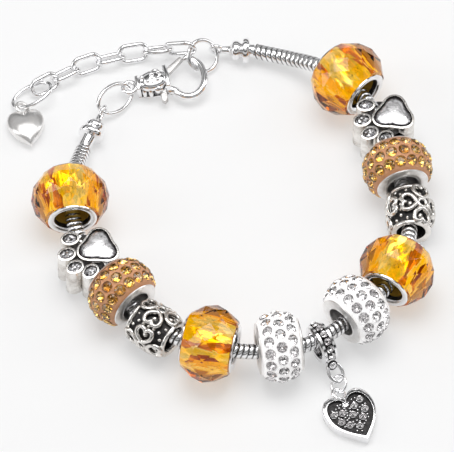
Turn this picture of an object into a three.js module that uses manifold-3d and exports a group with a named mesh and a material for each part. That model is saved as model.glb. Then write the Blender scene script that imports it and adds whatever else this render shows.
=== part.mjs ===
// Charm bracelet: a snake chain strung with faceted glass beads, pave beads, paw beads, openwork heart
// beads and a heart dangle, closed by a lobster clasp with an extension chain. It lies on a table.
// Millimetres, +Z up, origin at the middle of the footprint on the table.
import * as THREE from 'three';
import { ConvexGeometry } from 'three/addons/geometries/ConvexGeometry.js';
import { mergeVertices } from 'three/addons/utils/BufferGeometryUtils.js';
import Module from 'manifold-3d';

const wasm = await Module();
wasm.setup();

// ---------------------------------------------------------------- driving dimensions

const CHAIN = { radius: 1.45, sides: 8, steps: 48 };
const GLASS = { radius: 7.0, facets: 12, half: 4.32, endRadius: 4.9, midRadius: 6.2, midHalf: 2.15, bore: 3.32 };
const GROMMET = { bore: 3.0, flange: 4.45, thick: 0.42, seat: 0.05, segments: 10 };
const PAVE = { radius: 6.1, shoulder: 4.8, band: 1.15, half: 3.45, perRow: 16, stone: 0.98, bore: 3.16 };
const CORE = { bore: 2.8, tube: 3.1, flange: 4.7, half: 4.0, seat: 0.06, segments: 12 };
const HEARTS = { radius: 4.6, wall: 3.85, half: 4.0, bore: 2.5, rings: 3, heart: 2.7 };
const PAW = { thick: 7.0, bore: 2.65, rim: 0.42, recess: 0.55, toe: [1.62, 1.32] };
const BAIL = { bore: 2.5, wall: 3.55, width: 2.6, stones: 7, stone: 0.56 };
const PENDANT = { width: 9.3, length: 10.4, loop: 5.75, thick: 2.0, rim: 0.62, floor: 1.35, stone: 0.66 };
const CAP = { disc: 2.35, ring: 1.75, sleeve: 1.3, neck: 0.72, eye: 1.06, eyeWire: 0.34, reach: 5.3 };
const LINK = { first: 6.4, length: 5.9, width: 3.6, wire: 0.36 };
const OVAL = { length: 8.2, width: 5.4, wire: 0.34 };
const BIG_RING = { radius: 2.85, wire: 0.34 };
const CLASP = { hook: [3.05, 4.1], wire: 0.7, pivot: [-4.6, 0.9], slot: 0.72, lever: 0.55, pin: 0.42 };
const THIN_RING = { radius: 1.6, wire: 0.25 };
const CHARM = { width: 6.7, notch: 0.37, length: 7.6, thick: 3.0, loop: 4.6, loopRadius: 1.1, wire: 0.34 };

// Where each piece sits along the string, with the height of the chain's axis there.
const STRING = [
  { piece: 'left_end', x: -26.5, y: 12.3, z: 2.4 },
  { piece: 'left_slope', x: -27.5, y: 8.6, z: 3.9 },
  { piece: 'left_rise', x: -28.3, y: 4.6, z: 5.7 },
  { piece: 'glass_1', x: -28.7, y: -1.0, z: 6.2 },
  { piece: 'paw_1', x: -25.5, y: -12.9, z: 5.5 },
  { piece: 'champagne_1', x: -19.5, y: -20.3, z: 5.2 },
  { piece: 'hearts_1', x: -13.5, y: -26.9, z: 5.3 },
  { piece: 'glass_2', x: -3.9, y: -31.6, z: 5.85 },
  { piece: 'white_1', x: 8.3, y: -31.8, z: 5.2 },
  { piece: 'bail', x: 15.5, y: -29.5, z: 5.3 },
  { piece: 'white_2', x: 22.0, y: -24.0, z: 5.5 },
  { piece: 'glass_3', x: 29.1, y: -16.2, z: 5.95 },
  { piece: 'hearts_2', x: 31.6, y: -2.8, z: 5.3 },
  { piece: 'champagne_2', x: 29.4, y: 5.75, z: 5.2 },
  { piece: 'paw_2', x: 26.9, y: 15.4, z: 5.5 },
  { piece: 'glass_4', x: 20.6, y: 24.4, z: 6.2 },
  { piece: 'right_rise', x: 15.9, y: 28.0, z: 5.6 },
  { piece: 'right_slope', x: 10.6, y: 31.2, z: 3.4 },
  { piece: 'right_end', x: 4.3, y: 33.5, z: 2.35 },
];

// The extension chain from the link on the big ring to the last one: middle, heading of the link,
// lean about its length and its climb, in degrees.
const EXTENSION = [
  { x: -9.34, y: 33.35, z: 3.5, heading: -12.9, lean: -93, climb: 24.2 },
  { x: -13.4, y: 34.0, z: 2.05, heading: 178, lean: 40, climb: -12 },
  { x: -17.7, y: 33.6, z: 1.65, heading: -169, lean: -46, climb: 0 },
  { x: -21.9, y: 32.5, z: 1.5, heading: -164, lean: 36, climb: 0 },
  { x: -26.05, y: 31.25, z: 1.5, heading: -157.5, lean: -46, climb: 0 },
  { x: -29.9, y: 29.2, z: 1.5, heading: -149.8, lean: 36, climb: 0 },
  { x: -33.5, y: 26.9, z: 1.5, heading: -147.4, lean: -46, climb: 0 },
];

// Jump rings: middle, heading of the long axis, roll about it and its climb, in degrees.
const RINGS = {
  clasp_jump_ring: { x: -20.93, y: 23.27, z: 2.41, heading: 40.9, roll: 42.2, climb: -10.0 },
  end_jump_ring: { x: -5.21, y: 32.33, z: 2.58, heading: -0.3, roll: 25.6, climb: -29.1 },
  extension_end_ring: { x: -35.8, y: 24.48, z: 1.69, heading: 23.4, roll: -17.6, climb: 15.6 },
  dangle_link: { x: 18.78, y: -36.48, z: 1.36, heading: 89.1, roll: -36.9, climb: 18 },
};

// ---------------------------------------------------------------- materials

const silver = () => new THREE.MeshStandardMaterial({ color: 0xd8d8dc, roughness: 0.22, metalness: 1 });
const antique = () => new THREE.MeshStandardMaterial({ color: 0xb9b6b2, roughness: 0.38, metalness: 1 });
const amber = () => new THREE.MeshStandardMaterial({ color: 0xf2a413, roughness: 0.06, metalness: 0 });
const champagne = () => new THREE.MeshStandardMaterial({ color: 0xd49a66, roughness: 0.45, metalness: 0 });
const white = () => new THREE.MeshStandardMaterial({ color: 0xf4f2ef, roughness: 0.4, metalness: 0 });

// ---------------------------------------------------------------- solids

// A closed three.js geometry as a manifold solid, turned the right way out.
function solid(geometry) {
  const loose = geometry.index ? geometry.toNonIndexed() : geometry.clone();
  const bare = new THREE.BufferGeometry();
  bare.setAttribute('position', loose.getAttribute('position'));
  const merged = mergeVertices(bare, 1e-4);
  const index = merged.index.array;
  const kept = [];
  for (let i = 0; i < index.length; i += 3) {
    const [a, b, c] = [index[i], index[i + 1], index[i + 2]];
    if (a !== b && b !== c && c !== a) kept.push(a, b, c);
  }
  const make = (list) => new wasm.Manifold(new wasm.Mesh({
    numProp: 3,
    vertProperties: merged.attributes.position.array,
    triVerts: new Uint32Array(list),
  }));
  const made = make(kept);
  if (made.volume() > 0) return made;
  for (let i = 0; i < kept.length; i += 3) [kept[i + 1], kept[i + 2]] = [kept[i + 2], kept[i + 1]];
  return make(kept);
}

function geometryOf(made) {
  const mesh = made.getMesh();
  const geometry = new THREE.BufferGeometry();
  geometry.setAttribute('position', new THREE.BufferAttribute(new Float32Array(mesh.vertProperties), 3));
  geometry.setIndex(new THREE.BufferAttribute(new Uint32Array(mesh.triVerts), 1));
  geometry.computeVertexNormals();
  return geometry;
}

function join(geometries) {
  return geometryOf(geometries.map(solid).reduce((a, b) => a.add(b)));
}

function cut(body, tools) {
  return geometryOf(tools.map(solid).reduce((a, b) => a.subtract(b), solid(body)));
}

// A profile of [along, radius] pairs turned about the X axis.
function turned(profile, segments, turn = 0) {
  const points = profile.map(([x, r]) => new THREE.Vector2(r, x));
  const geometry = new THREE.LatheGeometry(points, segments);
  geometry.rotateY(turn);
  geometry.rotateZ(-Math.PI / 2);
  return geometry;
}

// A closed profile: the first pair comes round again as the last.
function ringTurned(profile, segments, turn = 0) {
  return turned([...profile, profile[0]], segments, turn);
}

function bar(radius, from, to, sides) {
  const line = new THREE.Vector3().subVectors(to, from);
  const geometry = new THREE.CylinderGeometry(radius, radius, line.length(), sides);
  const up = new THREE.Vector3(0, 1, 0);
  geometry.applyQuaternion(new THREE.Quaternion().setFromUnitVectors(up, line.clone().normalize()));
  geometry.translate(...from.clone().add(to).multiplyScalar(0.5).toArray());
  return geometry;
}

// A flat shape raised from z0 to z1.
function slab(shape, z0, z1, curveSegments = 6) {
  const geometry = new THREE.ExtrudeGeometry(shape, { depth: z1 - z0, bevelEnabled: false, curveSegments });
  geometry.translate(0, 0, z0);
  return geometry;
}

function polygon(points) {
  return new THREE.Shape(points.map(([x, y]) => new THREE.Vector2(x, y)));
}

function ellipse(cx, cy, a, b, turn, count) {
  const shape = new THREE.Shape();
  const curve = new THREE.EllipseCurve(cx, cy, a, b, 0, 2 * Math.PI, false, turn);
  shape.setFromPoints(curve.getPoints(count).slice(0, count));
  return shape;
}

// A wire loop whose centre line is an ellipse in the XY plane, or a stadium when straight is above 0.
function wireLoop(a, b, wire, segments, sides, straight = 0) {
  const geometry = new THREE.TorusGeometry(1, 0.25, sides, segments);
  const place = geometry.getAttribute('position');
  for (let i = 0; i < place.count; i++) {
    const angle = Math.atan2(place.getY(i), place.getX(i)) + Math.PI / segments;
    const out = (Math.hypot(place.getX(i), place.getY(i)) - 1) / 0.25 * wire;
    const high = place.getZ(i) / 0.25 * wire;
    const normal = new THREE.Vector2(Math.cos(angle) / a, Math.sin(angle) / b).normalize();
    const shift = straight * Math.sign(Math.cos(angle));
    place.setXYZ(
      i,
      a * Math.cos(angle) + out * normal.x + shift,
      b * Math.sin(angle) + out * normal.y,
      high,
    );
  }
  return geometry;
}

// A tube along a curve.
function tube(curve, radius, sides, steps) {
  const section = ellipse(0, 0, radius, radius, Math.PI / sides, sides);
  return new THREE.ExtrudeGeometry(section, { steps, extrudePath: curve, bevelEnabled: false });
}

// A cut stone standing on z = 0: a table with eight crown facets.
function cutStone(radius, sink, rise) {
  const girdle = new THREE.CylinderGeometry(0.56 * radius, radius, sink + rise, 8);
  girdle.rotateX(Math.PI / 2);
  girdle.translate(0, 0, (rise - sink) / 2);
  return girdle;
}

// Moves a geometry so that its own Z points along `normal` at `at`.
function standOn(geometry, at, normal, spin = 0) {
  const z = new THREE.Vector3(0, 0, 1);
  geometry.rotateZ(spin);
  geometry.applyQuaternion(new THREE.Quaternion().setFromUnitVectors(z, normal.clone().normalize()));
  geometry.translate(at.x, at.y, at.z);
  return geometry;
}

// A heart with its notch up +Y and its tip down -Y, centred on its length.
function heartShape(width, length, notch = 0.3) {
  const w = width / 2;
  const l = length;
  const shape = new THREE.Shape();
  shape.moveTo(0, notch * l);
  shape.bezierCurveTo(-0.12 * w, 0.58 * l, -w, 0.62 * l, -w, 0.18 * l);
  shape.bezierCurveTo(-w, -0.12 * l, -0.28 * w, -0.32 * l, 0, -0.5 * l);
  shape.bezierCurveTo(0.28 * w, -0.32 * l, w, -0.12 * l, w, 0.18 * l);
  shape.bezierCurveTo(w, 0.62 * l, 0.12 * w, 0.58 * l, 0, notch * l);
  return shape;
}

function heartPoints(width, length, perCurve) {
  return heartShape(width, length).getPoints(perCurve).slice(0, -1).map((p) => p.toArray());
}

// ---------------------------------------------------------------- beads, each with the string along X

// Faceted rondelle: kite facets between the end ring, the offset ring and the girdle.
function glassBody() {
  const points = [];
  for (let i = 0; i < GLASS.facets; i++) {
    const on = (2 * Math.PI * i) / GLASS.facets;
    const off = on + Math.PI / GLASS.facets;
    for (const side of [-1, 1]) {
      const end = new THREE.Vector3(side * GLASS.half, 0, GLASS.endRadius);
      const mid = new THREE.Vector3(side * GLASS.midHalf, 0, GLASS.midRadius);
      points.push(end.applyAxisAngle(new THREE.Vector3(1, 0, 0), on));
      points.push(mid.applyAxisAngle(new THREE.Vector3(1, 0, 0), off));
    }
    const girdle = new THREE.Vector3(0, 0, -GLASS.radius);
    points.push(girdle.applyAxisAngle(new THREE.Vector3(1, 0, 0), on));
  }
  const bore = new THREE.CylinderGeometry(GLASS.bore, GLASS.bore, 3 * GLASS.half, 12);
  bore.rotateZ(Math.PI / 2);
  return cut(new ConvexGeometry(points), [bore]);
}

// Flanged eyelet on one end of a glass bead.
function grommet(side) {
  const face = GLASS.half + GROMMET.seat;
  const lip = face + GROMMET.thick;
  const profile = [
    [side * (face - 0.9), GROMMET.bore],
    [side * face, GLASS.bore - 0.1],
    [side * face, GROMMET.flange],
    [side * lip, GROMMET.flange - 0.2],
    [side * lip, GROMMET.bore + 0.05],
  ];
  return join([ringTurned(profile, GROMMET.segments)]);
}

// Clay barrel with its widest row of stones fused into it, one on each facet.
function paveBody() {
  const { radius, shoulder, band, half, perRow, stone, bore } = PAVE;
  const profile = [
    [-half, bore],
    [-half, shoulder],
    [-half + 1.1, radius - 0.42],
    [-band, radius],
    [band, radius],
    [half - 1.1, radius - 0.42],
    [half, shoulder],
    [half, bore],
  ];
  const parts = [ringTurned(profile, perRow, Math.PI / perRow)];
  const reach = radius * Math.cos(Math.PI / perRow);
  for (let i = 0; i < perRow; i++) {
    const angle = (2 * Math.PI * i) / perRow;
    const normal = new THREE.Vector3(0, -Math.sin(angle), Math.cos(angle));
    parts.push(standOn(cutStone(stone, 0.35, 0.3), normal.clone().multiplyScalar(reach), normal));
  }
  return join(parts);
}

// Flanged silver tube that lines a pave bead.
function paveCore() {
  const { bore, tube: wall, flange, half, seat } = CORE;
  const inside = PAVE.half + seat;
  const profile = [
    [-half, bore],
    [-half, flange - 0.25],
    [-inside, flange],
    [-inside, wall],
    [inside, wall],
    [inside, flange],
    [half, flange - 0.25],
    [half, bore],
  ];
  return ringTurned(profile, CORE.segments);
}

// Openwork bead: a barrel with three clovers of four heart outlines round a small ring.
function heartsBead() {
  const { radius, wall, half, bore, rings, heart } = HEARTS;
  const profile = [
    [-half, bore],
    [-half, wall + 0.15],
    [-half + 0.7, wall + 0.1],
    [-half + 0.75, wall - 0.25],
    [half - 0.75, wall - 0.25],
    [half - 0.7, wall + 0.1],
    [half, wall + 0.15],
    [half, bore],
  ];
  const parts = [ringTurned(profile, 12)];
  for (let i = 0; i < rings; i++) {
    for (let k = 0; k < 4; k++) {
      const shape = polygon(heartPoints(heart, heart, 2));
      shape.holes.push(polygon(heartPoints(heart * 0.55, heart * 0.6, 1)));
      const leaf = slab(shape, wall - 0.6, radius);
      leaf.translate(0, heart * 0.66, 0);
      leaf.rotateZ(((k + 0.5) * Math.PI) / 2);
      leaf.rotateX((2 * Math.PI * i) / rings);
      parts.push(leaf);
    }
    const eyelet = ellipse(0, 0, 0.7, 0.7, 0, 6);
    eyelet.holes.push(ellipse(0, 0, 0.34, 0.34, 0, 4));
    const boss = slab(eyelet, wall - 0.6, radius + 0.02);
    boss.rotateX((2 * Math.PI * i) / rings);
    parts.push(boss);
  }
  return join(parts);
}

// Rounded three-lobed pad outline, grown by `grow`.
function padShape(grow, count) {
  const points = [];
  for (let i = 0; i < count; i++) {
    const angle = (2 * Math.PI * i) / count;
    const reach = 3.05 + 0.7 * Math.cos(3 * (angle + Math.PI / 2)) + grow;
    points.push([reach * Math.cos(angle), 1.75 + reach * Math.sin(angle)]);
  }
  return polygon(points);
}

// Toes of the paw: place on the face and turn of the oval.
const TOES = [
  { x: -3.95, y: -1.55, turn: 0.6 },
  { x: -1.35, y: -3.55, turn: 1.3 },
  { x: 1.9, y: -3.6, turn: 1.85 },
  { x: 4.1, y: -1.45, turn: 2.6 },
];

// Paw bead: pad and four stone-set toes, the string passing across it.
function pawBead() {
  const top = PAW.thick / 2;
  const [a, b] = PAW.toe;
  const parts = [slab(padShape(0.1, 15), -top, top)];
  parts.push(slab(ellipse(0, -0.3, 4.0, 3.6, 0, 10), -top + 0.5, top - 0.9));
  for (const toe of TOES) {
    parts.push(slab(ellipse(toe.x, toe.y, a, b, toe.turn, 8), -top + 0.25, top));
  }
  const wells = [slab(padShape(-0.45, 15), top - PAW.recess, top + 1)];
  for (const toe of TOES) {
    wells.push(slab(ellipse(toe.x, toe.y, a - PAW.rim, b - PAW.rim, toe.turn, 8), top - PAW.recess, top + 1));
  }
  const bore = new THREE.CylinderGeometry(PAW.bore, PAW.bore, 16, 10);
  bore.rotateZ(Math.PI / 2);
  wells.push(bore);
  const shell = cut(join(parts), wells);
  const trim = [shell];
  const dome = new THREE.ExtrudeGeometry(padShape(-1.35, 9), {
    depth: 0.4,
    bevelThickness: 0.5,
    bevelSize: 0.7,
    bevelSegments: 1,
  });
  dome.translate(0, 0, top - PAW.recess - 0.45);
  trim.push(dome);
  for (const toe of TOES) {
    const stone = cutStone(1, 0.2, 0.42);
    stone.scale(a - PAW.rim - 0.12, b - PAW.rim - 0.12, 1);
    stone.rotateZ(toe.turn);
    stone.translate(toe.x, toe.y, top - PAW.recess);
    trim.push(stone);
  }
  return join(trim);
}

// ---------------------------------------------------------------- dangle

// Stone-set bail ring with a loop below it; the string along X, the loop down -Z.
function bailRing() {
  const { bore, wall, width, stones, stone } = BAIL;
  const half = width / 2;
  const profile = [
    [-half, bore],
    [-half, wall],
    [0, wall + 0.2],
    [half, wall],
    [half, bore],
  ];
  const parts = [ringTurned(profile, 12)];
  for (let i = 0; i < stones; i++) {
    const angle = THREE.MathUtils.degToRad(24 + (i - (stones - 1) / 2) * 23);
    const normal = new THREE.Vector3(0, -Math.cos(angle), Math.sin(angle));
    const at = normal.clone().multiplyScalar(wall + 0.15);
    parts.push(standOn(cutStone(stone, 0.3, 0.32), at, normal));
  }
  const loop = wireLoop(1.75, 1.25, 0.37, 8, 5);
  loop.rotateY(Math.PI / 2);
  loop.rotateZ(Math.PI / 2);
  loop.translate(0, 0, -wall - 2.15);
  parts.push(loop);
  const boss = new THREE.SphereGeometry(0.68, 6, 4);
  boss.translate(0, 0, -wall - 0.6);
  parts.push(boss);
  return join(parts);
}

const PENDANT_STONES = [
  { x: 2.65, y: 2.85 },
  { x: 1.14, y: 2.1 },
  { x: 2.57, y: 0.69 },
  { x: -2.98, y: 1.94 },
  { x: -1.48, y: 1.65 },
  { x: 0.1, y: 0.56 },
  { x: 1.47, y: -0.64 },
  { x: -2.45, y: 0.1 },
  { x: -1.4, y: -1.15 },
  { x: 0.11, y: -2.08 },
];

// Flat heart pendant, face up: raised rim, sunk field, stones and a flat loop at the notch.
function heartPendant() {
  const { width, length, loop, thick, rim, floor, stone } = PENDANT;
  const outer = slab(heartShape(width, length), 0, thick, 6);
  const field = slab(heartShape(width - 2.6 * rim, length - 3.1 * rim), floor, thick + 1, 6);
  field.translate(0, -0.12, 0);
  const plate = cut(outer, [field]);
  const parts = [plate];
  for (const spot of PENDANT_STONES) {
    const gem = cutStone(stone, 0.2, 0.6);
    gem.translate(spot.x, spot.y, floor);
    parts.push(gem);
  }
  parts.push(slab(polygon([[-0.5, 0.25 * length], [0.5, 0.25 * length], [0.4, 4.6], [-0.4, 4.6]]), 0.3, 1.6));
  const ring = wireLoop(1.15, 1.15, 0.36, 10, 5);
  ring.rotateY(THREE.MathUtils.degToRad(25));
  ring.translate(0, loop, 1.15);
  parts.push(ring);
  return join(parts);
}

// ---------------------------------------------------------------- ends, links and charm

// Turned end cap: sleeve on the chain side, disc, ball ring, neck and a standing eye. Chain side is -X.
function endCap(sleeveLength) {
  const { disc, ring, sleeve, neck, eye, eyeWire, reach } = CAP;
  const profile = [
    [-0.7 - sleeveLength, 0],
    [-0.7 - sleeveLength, sleeve],
    [-0.7, sleeve],
    [-0.6, disc - 0.3],
    [-0.2, disc],
    [0.4, disc],
    [0.9, ring - 0.3],
    [1.35, ring],
    [2.3, ring],
    [2.8, neck + 0.3],
    [3.1, neck],
    [reach - eye + 0.1, neck - 0.1],
    [reach - eye + 0.1, 0],
  ];
  const loop = wireLoop(eye, eye, eyeWire, 10, 5);
  loop.rotateX(Math.PI / 2);
  loop.translate(reach, 0, 0);
  return join([turned(profile, 10), loop]);
}

function chainLink(length) {
  const { width, wire } = LINK;
  const b = width / 2 - wire;
  const straight = length / 2 - wire - b;
  return wireLoop(b, b, wire, 12, 5, straight);
}

// How far a heart's outline lies from its middle, as a function of the angle.
function heartReach(width, length, notch) {
  const points = heartShape(width, length, notch).getPoints(16).slice(0, -1);
  const outline = points.map((p) => ({ angle: Math.atan2(p.y, p.x), reach: p.length() }));
  outline.sort((a, b) => a.angle - b.angle);
  const wrapped = [...outline, { angle: outline[0].angle + 2 * Math.PI, reach: outline[0].reach }];
  return (angle) => {
    const turn = angle < outline[0].angle ? angle + 2 * Math.PI : angle;
    const next = wrapped.findIndex((spot) => spot.angle > turn);
    if (next < 1) return wrapped[wrapped.length - 1].reach;
    const [a, b] = [wrapped[next - 1], wrapped[next]];
    return a.reach + ((b.reach - a.reach) * (turn - a.angle)) / (b.angle - a.angle);
  };
}

// Puffed heart charm: a sphere drawn out to a heart outline, with a loop at the notch.
function puffedHeart() {
  const { width, length, thick, notch, loop, loopRadius, wire } = CHARM;
  const reach = heartReach(width, length, notch);
  const geometry = new THREE.SphereGeometry(1, 20, 8);
  geometry.rotateX(Math.PI / 2);
  const place = geometry.getAttribute('position');
  for (let i = 0; i < place.count; i++) {
    const across = Math.hypot(place.getX(i), place.getY(i));
    const angle = Math.atan2(place.getY(i), place.getX(i));
    const drawn = across ** 0.9 * reach(angle);
    place.setXYZ(i, Math.cos(angle) * drawn, Math.sin(angle) * drawn, (place.getZ(i) * thick) / 2);
  }
  const ring = wireLoop(loopRadius, loopRadius, wire, 10, 5);
  ring.rotateY(THREE.MathUtils.degToRad(25));
  ring.translate(0, loop, 0);
  const neckFoot = new THREE.Vector3(0, 0.2 * length, 0);
  const neck = bar(0.45, neckFoot, new THREE.Vector3(0, loop - loopRadius, 0), 6);
  return join([geometry, ring, neck]);
}

// ---------------------------------------------------------------- clasp

// Dots on top of the clasp's body, and the raised panels along its near side.
const CLASP_DOTS = [
  { x: -7.9, y: 0.5, r: 0.42 },
  { x: -7.0, y: -0.5, r: 0.42 },
  { x: -6.2, y: 0.7, r: 0.45 },
  { x: -5.3, y: -0.5, r: 0.45 },
  { x: -4.9, y: 1.1, r: 0.36 },
];
const CLASP_PANELS = [
  { from: -8.3, to: -7.5, y: -1.62 },
  { from: -7.2, to: -6.5, y: -1.76 },
  { from: -6.1, to: -4.6, y: -2.02 },
];

// Clasp body with eye and hook. The hook's middle is the origin, the body runs back along -X.
function claspBody() {
  const outline = polygon([[-9.1, -1.25], [-3.4, -2.05], [-3.4, 2.05], [-9.1, 1.25]]);
  const front = polygon([[-4.2, -2.3], [-3.25, -2.35], [-3.05, 0], [-3.25, 2.35], [-4.2, 2.3]]);
  const back = polygon([[-9.35, -1.5], [-8.55, -1.6], [-8.55, 1.6], [-9.35, 1.5]]);
  const sole = polygon([[-9.2, -1.6], [-3.1, -2.5], [-3.1, 2.4], [-9.2, 1.5]]);
  const parts = [
    slab(outline, -1.2, 2.5),
    slab(front, -1.2, 2.85),
    slab(back, -1.2, 2.2),
    slab(sole, -1.4, -0.75),
  ];
  for (const spot of CLASP_DOTS) {
    const dot = new THREE.SphereGeometry(spot.r, 6, 4);
    dot.rotateX(Math.PI / 2);
    dot.translate(spot.x, spot.y, 2.5);
    parts.push(dot);
  }
  for (const { from, to, y } of CLASP_PANELS) {
    parts.push(slab(polygon([[from, y], [to, y - 0.1], [to, y + 0.8], [from, y + 0.8]]), 0.85, 1.95));
  }
  const [a, b] = CLASP.hook;
  const hookPoints = [new THREE.Vector3(-4.2, -1.35, 0.15), new THREE.Vector3(-3.0, -2.1, 0.1)];
  for (let angle = 215; angle <= 440; angle += 25) {
    const turn = THREE.MathUtils.degToRad(angle);
    hookPoints.push(new THREE.Vector3(a * Math.cos(turn), b * Math.sin(turn), 0));
  }
  parts.push(tube(new THREE.CatmullRomCurve3(hookPoints), CLASP.wire, 7, 14));
  const eye = wireLoop(1.15, 1.15, 0.4, 10, 5);
  eye.translate(-10.55, 0, 0.75);
  parts.push(eye);
  const reach = CLASP.slot;
  const tabSlot = polygon([[-7.6, -4], [-3.9, -4], [-3.75, 0.1], [-2.0, 0.2], [-2.0, 4], [-5.4, 4], [-5.9, 1.2]]);
  const open = cut(join(parts), [slab(tabSlot, -reach, reach)]);
  const [px, py] = CLASP.pivot;
  const post = bar(CLASP.pin, new THREE.Vector3(px, py, -1.0), new THREE.Vector3(px, py, 1.2), 8);
  return join([open, post]);
}

// Sprung lever: gate arm to the hook's tip and thumb tab, turning on the clasp's post.
function claspLever() {
  const [px, py] = CLASP.pivot;
  const tip = new THREE.Vector2(-0.28, 4.1);
  const along = tip.clone().sub(new THREE.Vector2(px, py)).normalize();
  const across = new THREE.Vector2(-along.y, along.x);
  const at = (base, s, t) => [base.x + along.x * s + across.x * t, base.y + along.y * s + across.y * t];
  const pivot = new THREE.Vector2(px, py);
  const arm = polygon([at(pivot, 0, 0.85), at(tip, 0, 0.5), at(tip, 0, -0.5), at(pivot, 0, -0.85)]);
  const tab = polygon([[px + 0.8, py], [px - 0.8, py], [px - 0.75, -3.9], [px - 0.3, -4.4], [px + 0.35, -3.9]]);
  const hub = ellipse(px, py, 0.95, 0.95, 0, 10);
  const half = CLASP.lever;
  const body = join([slab(arm, -half, half), slab(tab, -half, half), slab(hub, -half, half)]);
  const hole = bar(CLASP.pin + 0.12, new THREE.Vector3(px, py, -2), new THREE.Vector3(px, py, 2), 8);
  return cut(body, [hole]);
}

// ---------------------------------------------------------------- assembly

const bracelet = new THREE.Group();
const STRING_CURVE = new THREE.CatmullRomCurve3(STRING.map((s) => new THREE.Vector3(s.x, s.y, s.z)));

function addMesh(parent, name, geometry, material) {
  const mesh = new THREE.Mesh(geometry, material);
  mesh.name = name;
  parent.add(mesh);
  return mesh;
}

// A level group at a place on the string, its X along the string and its Z up.
function stationAt(piece, height) {
  const index = STRING.findIndex((s) => s.piece === piece);
  const { x, y } = STRING[index];
  const run = STRING_CURVE.getTangent(index / (STRING.length - 1));
  const group = new THREE.Group();
  group.position.set(x, y, height);
  group.rotation.z = Math.atan2(run.y, run.x);
  bracelet.add(group);
  return group;
}

// A group at a point, its X along `along` and its Z as near `up` as it can be.
function groupAt(at, along, up) {
  const x = along.clone().normalize();
  const y = new THREE.Vector3().crossVectors(up, x).normalize();
  const z = new THREE.Vector3().crossVectors(x, y);
  const group = new THREE.Group();
  group.matrix.makeBasis(x, y, z).setPosition(at);
  group.matrix.decompose(group.position, group.quaternion, group.scale);
  bracelet.add(group);
  return group;
}

const heading = (degrees) => {
  const turn = THREE.MathUtils.degToRad(degrees);
  return new THREE.Vector3(Math.cos(turn), Math.sin(turn), 0);
};

// A group at a spot: X along the heading and climb, then rolled about X, all in degrees.
function groupOn(spot, roll) {
  const climb = THREE.MathUtils.degToRad(spot.climb);
  const along = heading(spot.heading).multiplyScalar(Math.cos(climb)).setZ(Math.sin(climb));
  const group = groupAt(new THREE.Vector3(spot.x, spot.y, spot.z), along, new THREE.Vector3(0, 0, 1));
  group.rotateX(THREE.MathUtils.degToRad(roll));
  return group;
}

function addRing(name, a, b, wire, segments) {
  const spot = RINGS[name];
  addMesh(groupOn(spot, spot.roll), name, wireLoop(a, b, wire, segments, 5), silver());
}

function addChain() {
  const geometry = tube(STRING_CURVE, CHAIN.radius, CHAIN.sides, CHAIN.steps);
  addMesh(bracelet, 'snake_chain', geometry, silver());
}

function addBeads() {
  for (const n of [1, 2, 3, 4]) {
    const glass = stationAt(`glass_${n}`, GLASS.radius);
    addMesh(glass, `glass_bead_${n}`, glassBody(), amber());
    addMesh(glass, `grommet_${n}_a`, grommet(-1), silver());
    addMesh(glass, `grommet_${n}_b`, grommet(1), silver());
  }
  for (const n of [1, 2]) {
    const tall = PAVE.radius + 0.28;
    const tan = stationAt(`champagne_${n}`, tall);
    addMesh(tan, `champagne_pave_${n}`, paveBody(), champagne());
    addMesh(tan, `champagne_core_${n}`, paveCore(), silver());
    const pale = stationAt(`white_${n}`, tall);
    addMesh(pale, `white_pave_${n}`, paveBody(), white());
    addMesh(pale, `white_core_${n}`, paveCore(), silver());
    const hearts = stationAt(`hearts_${n}`, HEARTS.radius + 0.1);
    addMesh(hearts, `hearts_bead_${n}`, heartsBead(), antique());
    const paw = stationAt(`paw_${n}`, 5.0);
    paw.rotateZ(n === 1 ? 0 : Math.PI);
    addMesh(paw, `paw_bead_${n}`, pawBead(), antique());
  }
}

function addDangle() {
  const index = STRING.findIndex((s) => s.piece === 'bail');
  const run = STRING_CURVE.getTangent(index / (STRING.length - 1));
  const down = new THREE.Vector3(0.4, -0.77, -0.5);
  const { x, y, z } = STRING[index];
  const middle = new THREE.Vector3(x, y, z).addScaledVector(down, 0.8);
  const hang = groupAt(middle, new THREE.Vector3(run.x, run.y, 0), down.clone().negate());
  addMesh(hang, 'dangle_bail', bailRing(), antique());
  addRing('dangle_link', THIN_RING.radius, THIN_RING.radius, THIN_RING.wire, 12);
  const heart = groupAt(new THREE.Vector3(21.45, -43.5, 0), heading(27.8), new THREE.Vector3(0, 0, 1));
  addMesh(heart, 'heart_pendant', heartPendant(), silver());
}

function addEnds() {
  const up = new THREE.Vector3(0, 0, 1);
  const left = groupAt(new THREE.Vector3(-25.2, 15.6, CAP.disc), heading(66), up);
  addMesh(left, 'left_end_cap', endCap(2.2), silver());
  const right = groupAt(new THREE.Vector3(2.5, 33.66, CAP.disc), heading(177.7), up);
  addMesh(right, 'right_end_cap', endCap(0.5), silver());
  addRing('clasp_jump_ring', OVAL.length / 2 - OVAL.wire, OVAL.width / 2 - OVAL.wire, OVAL.wire, 16);
  addRing('end_jump_ring', BIG_RING.radius, BIG_RING.radius, BIG_RING.wire, 16);
}

function addClasp() {
  const up = new THREE.Vector3(0, 0, 1);
  const pitch = heading(11).multiplyScalar(Math.cos(0.1)).setZ(Math.sin(0.1));
  const clasp = groupAt(new THREE.Vector3(-8.0, 27.9, 2.35), pitch, up);
  addMesh(clasp, 'clasp_body', claspBody(), silver());
  addMesh(clasp, 'clasp_lever', claspLever(), silver());
}

function addExtension() {
  const up = new THREE.Vector3(0, 0, 1);
  EXTENSION.forEach((spot, i) => {
    const link = chainLink(i ? LINK.length : LINK.first);
    addMesh(groupOn(spot, spot.lean), `extension_link_${i + 1}`, link, silver());
  });
  addRing('extension_end_ring', OVAL.length / 2 - OVAL.wire, OVAL.width / 2 - OVAL.wire, OVAL.wire, 16);
  const charm = groupAt(new THREE.Vector3(-36.57, 17.37, CHARM.thick / 2), heading(12.4), up);
  addMesh(charm, 'heart_charm', puffedHeart(), silver());
}

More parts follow.
